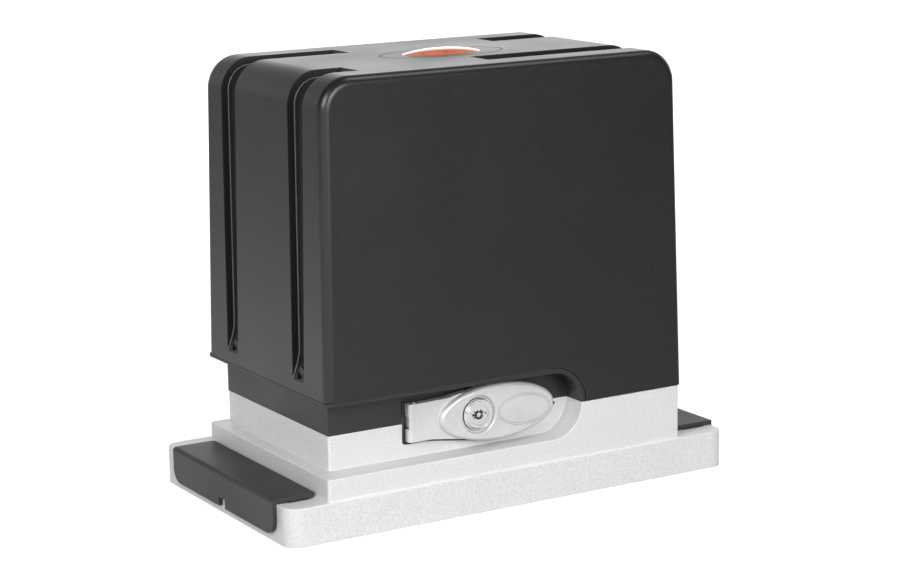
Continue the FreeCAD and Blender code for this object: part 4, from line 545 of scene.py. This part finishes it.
keywayShadeSettings = {"thick": 0.00012, "lift": 0.00001, "wardBore": 0.1, "arcs": {
    "keyHollow": (0.0031, 0.0018, 100, 250), "keyHollowUpper": (0.0034, 0.0022, 10, 62)},
    "wards": {"wardLeft": (-0.0042, 0.0002, 0.0009), "wardLow": (-0.0034, -0.0016, 0.0006),
              "wardHigh": (-0.0030, 0.0020, 0.0006), "wardRight": (0.0049, 0.0006, 0.0006)}}
keyFace = lockLow.y - keywayShadeSettings["lift"]
for name, (outer, inner, start, sweep) in keywayShadeSettings["arcs"].items():
    addPiece(faceRing(name, lockCentre, outer, inner, start, sweep, keyFace,
                      keywayShadeSettings["thick"]), "lock", finishes["rubber"])
for name, (x, z, radius) in keywayShadeSettings["wards"].items():
    addPiece(faceRing(name, (lockCentre[0] + x, lockCentre[1] + z), radius,
                      radius * keywayShadeSettings["wardBore"], 0, 359, keyFace,
                      keywayShadeSettings["thick"], 14), "lock", finishes["rubber"])

# black pieces painted as shade: a ring in the gap round the barrel, and a line along the seam under
# the hood

barrelGapShadeSettings = {"radius": 0.01052, "thick": 0.00032, "sink": 0.0021, "points": 40}
turns = [2 * math.pi * i / barrelGapShadeSettings["points"] for i in range(barrelGapShadeSettings["points"])]
addPiece(bar("barrelGapShade", [(lockCentre[0] + barrelGapShadeSettings["radius"] * math.cos(turn),
                             leverFace + barrelGapShadeSettings["sink"],
                             lockCentre[1] + barrelGapShadeSettings["radius"] * math.sin(turn))
                            for turn in turns], barrelGapShadeSettings["thick"], True), "lever",
         finishes["rubber"])

# painted shade: a black line along the seam between hood and skirt
seamSettings = {"height": 0.0858, "inset": 0.0004, "radius": 0.00042, "end": 0.026,
                "bend": 0.006, "frontMiddle": -0.05}
seamX, seamY = hoodLow.x + seamSettings["inset"], hoodLow.y + seamSettings["inset"]
seamBack, seamBend = hoodHigh.y - seamSettings["inset"], seamSettings["bend"]
seamLine = [(0.0, seamBack), (seamX + seamBend, seamBack), (seamX, seamBack),
            (seamX, seamBack - seamBend), (seamX, 0.0), (seamX, seamY + seamBend), (seamX, seamY),
            (seamX + seamBend, seamY), (seamSettings["frontMiddle"], seamY),
            (seamSettings["end"], seamY)]
addPiece(bar("seamShadeLine", [(x, y, seamSettings["height"]) for x, y in seamLine],
             seamSettings["radius"]), "base", finishes["rubber"])
print("small pieces made")


# stage: camera, floor, world and lamps

cameraSettings = {"place": (-0.7826, -1.3217, 0.4498), "forward": (0.5012, 0.8406, -0.2055),
                  "up": (0.1195, 0.1680, 0.9785), "lens": 94.73, "sensor": 36.0}


def setCamera():
    data = bpy.data.cameras.new("viewCamera")
    data.lens = cameraSettings["lens"]
    data.sensor_width = cameraSettings["sensor"]
    camera = bpy.data.objects.new("viewCamera", data)
    scene.collection.objects.link(camera)
    back = -Vector(cameraSettings["forward"]).normalized()
    right = Vector(cameraSettings["up"]).cross(back).normalized()
    up = back.cross(right)
    turn = Matrix((right, up, back)).transposed()
    camera.matrix_world = Matrix.Translation(cameraSettings["place"]) @ turn.to_4x4()
    scene.camera = camera


floorSettings = {"size": 16.0, "colour": (0.45, 0.45, 0.45, 1), "near": 0.74, "far": 1.0,
                 "fade": (0.4, 2.0), "drop": 0.0002,
                 "bounce": (("X", 0.80, 0.0, -0.45, 0.35), ("Y", 1.0, 0.25, 0.35, 1.0))}


def bounceGlow(tree):
    # shiny faces see the lit floor on the left, nearest the object
    path = addNode(tree, "ShaderNodeLightPath")
    place = addNode(tree, "ShaderNodeTexCoord")
    split = addNode(tree, "ShaderNodeSeparateXYZ")
    tree.links.new(place.outputs["Object"], split.inputs["Vector"])
    total = path.outputs["Is Glossy Ray"]
    for axis, low, high, start, end in floorSettings["bounce"]:
        both = addNode(tree, "ShaderNodeMath", operation="MULTIPLY")
        tree.links.new(total, both.inputs[0])
        tree.links.new(between(tree, split.outputs[axis], low, high, start, end), both.inputs[1])
        total = both.outputs[0]
    return total


def seenDirectly(tree):
    # 1 for rays from the camera and for those that clear surfaces send on
    path = addNode(tree, "ShaderNodeLightPath")
    both = addNode(tree, "ShaderNodeMath", operation="MAXIMUM")
    tree.links.new(path.outputs["Is Camera Ray"], both.inputs[0])
    tree.links.new(path.outputs["Is Transmission Ray"], both.inputs[1])
    return both.outputs[0]


def layFloor():
    half = floorSettings["size"] / 2
    mesh = bpy.data.meshes.new("studioFloor")
    mesh.from_pydata([(-half, -half, 0), (half, -half, 0), (half, half, 0), (-half, half, 0)], [],
                     [(0, 1, 2, 3)])
    floor = bpy.data.objects.new("studioFloor", mesh)
    scene.collection.objects.link(floor)
    floor.location.z = -floorSettings["drop"]
    paint, tree, shader = newFinish("floorPaint")
    shader.inputs["Base Color"].default_value = floorSettings["colour"]
    shader.inputs["Roughness"].default_value = 0.9
    shader.inputs["Specular IOR Level"].default_value = 0.0
    glow = addNode(tree, "ShaderNodeEmission")
    place = addNode(tree, "ShaderNodeTexCoord")
    away = addNode(tree, "ShaderNodeVectorMath", operation="LENGTH")
    tree.links.new(place.outputs["Object"], away.inputs[0])
    lift = addNode(tree, "ShaderNodeMath", operation="MULTIPLY")
    tree.links.new(between(tree, away.outputs["Value"], floorSettings["near"],
                           floorSettings["far"], *floorSettings["fade"]), lift.inputs[1])
    tree.links.new(seenDirectly(tree), lift.inputs[0])
    whole = addNode(tree, "ShaderNodeMath", operation="ADD")
    tree.links.new(lift.outputs[0], whole.inputs[0])
    tree.links.new(bounceGlow(tree), whole.inputs[1])
    tree.links.new(whole.outputs[0], glow.inputs["Strength"])
    total = addNode(tree, "ShaderNodeAddShader")
    tree.links.new(shader.outputs[0], total.inputs[0])
    tree.links.new(glow.outputs[0], total.inputs[1])
    tree.links.new(total.outputs[0], tree.nodes["Material Output"].inputs["Surface"])
    dress(floor, paint)


skySettings = {"ambient": 0.27, "frontShade": 0.04, "backShade": 2.3, "highShade": 0.20,
               "heights": (0.14, 0.46), "behind": (-0.2, 0.5), "aside": (-0.5, 0.05),
               "leftShare": 0.12}


def setSky():
    sky = bpy.data.worlds.new("studioSky")
    scene.world = sky
    sky.use_nodes = True
    tree = sky.node_tree
    glow = tree.nodes["Background"]
    glow.inputs["Color"].default_value = (1, 1, 1, 1)
    # shiny surfaces see a bright band low behind the object, and dark in front and above
    place = addNode(tree, "ShaderNodeTexCoord")
    split = addNode(tree, "ShaderNodeSeparateXYZ")
    tree.links.new(place.outputs["Generated"], split.inputs["Vector"])
    low = between(tree, split.outputs["Z"], skySettings["backShade"], skySettings["highShade"],
                  *skySettings["heights"])
    turned = between(tree, split.outputs["Y"], 0.0, 1.0, *skySettings["behind"])
    aside = between(tree, split.outputs["X"], skySettings["leftShare"], 1.0,
                    *skySettings["aside"])
    deep = addNode(tree, "ShaderNodeMath", operation="MULTIPLY")
    tree.links.new(turned, deep.inputs[0])
    tree.links.new(aside, deep.inputs[1])
    band = addNode(tree, "ShaderNodeMath", operation="MULTIPLY")
    tree.links.new(low, band.inputs[0])
    tree.links.new(deep.outputs[0], band.inputs[1])
    rest = addNode(tree, "ShaderNodeMath", operation="ADD")
    rest.inputs[1].default_value = skySettings["frontShade"]
    tree.links.new(band.outputs[0], rest.inputs[0])
    path = addNode(tree, "ShaderNodeLightPath")
    pick = addNode(tree, "ShaderNodeMix")
    pick.inputs["A"].default_value = skySettings["ambient"]
    tree.links.new(path.outputs["Is Glossy Ray"], pick.inputs["Factor"])
    tree.links.new(rest.outputs[0], pick.inputs["B"])
    white = addNode(tree, "ShaderNodeMix")
    white.inputs["B"].default_value = 1.0
    tree.links.new(seenDirectly(tree), white.inputs["Factor"])
    tree.links.new(pick.outputs["Result"], white.inputs["A"])
    tree.links.new(white.outputs["Result"], glow.inputs["Strength"])


lampTarget = (0, 0, 0.13)
lampSettings = {
    "leftPanel": {"place": (-1.15, -0.75, 0.80), "size": (0.7, 0.6), "power": 14},
    "topPanel": {"place": (0.75, -0.40, 1.7), "size": (0.7, 0.6), "power": 6},
    "frontPanel": {"place": (0.0, -2.0, 0.75), "size": (1.0, 0.7), "power": 26},
    "backPanel": {"place": (0.3, 2.0, 0.9), "size": (1.0, 0.7), "power": 17,
                  "mirrored": False},
    "rightPanel": {"place": (1.9, 0.5, 0.9), "size": (0.8, 0.7), "power": 8,
                   "mirrored": False},
}


def hangLamps():
    target = Vector(lampTarget)
    for name, made in lampSettings.items():
        data = bpy.data.lights.new(name, "AREA")
        data.shape = "RECTANGLE"
        data.size, data.size_y = made["size"]
        data.energy = made["power"]
        lamp = bpy.data.objects.new(name, data)
        scene.collection.objects.link(lamp)
        lamp.visible_glossy = made.get("mirrored", True)
        lamp.location = made["place"]
        lamp.rotation_euler = (target - Vector(made["place"])).to_track_quat("-Z", "Y").to_euler()


setCamera()
layFloor()
setSky()
hangLamps()
print("stage set")
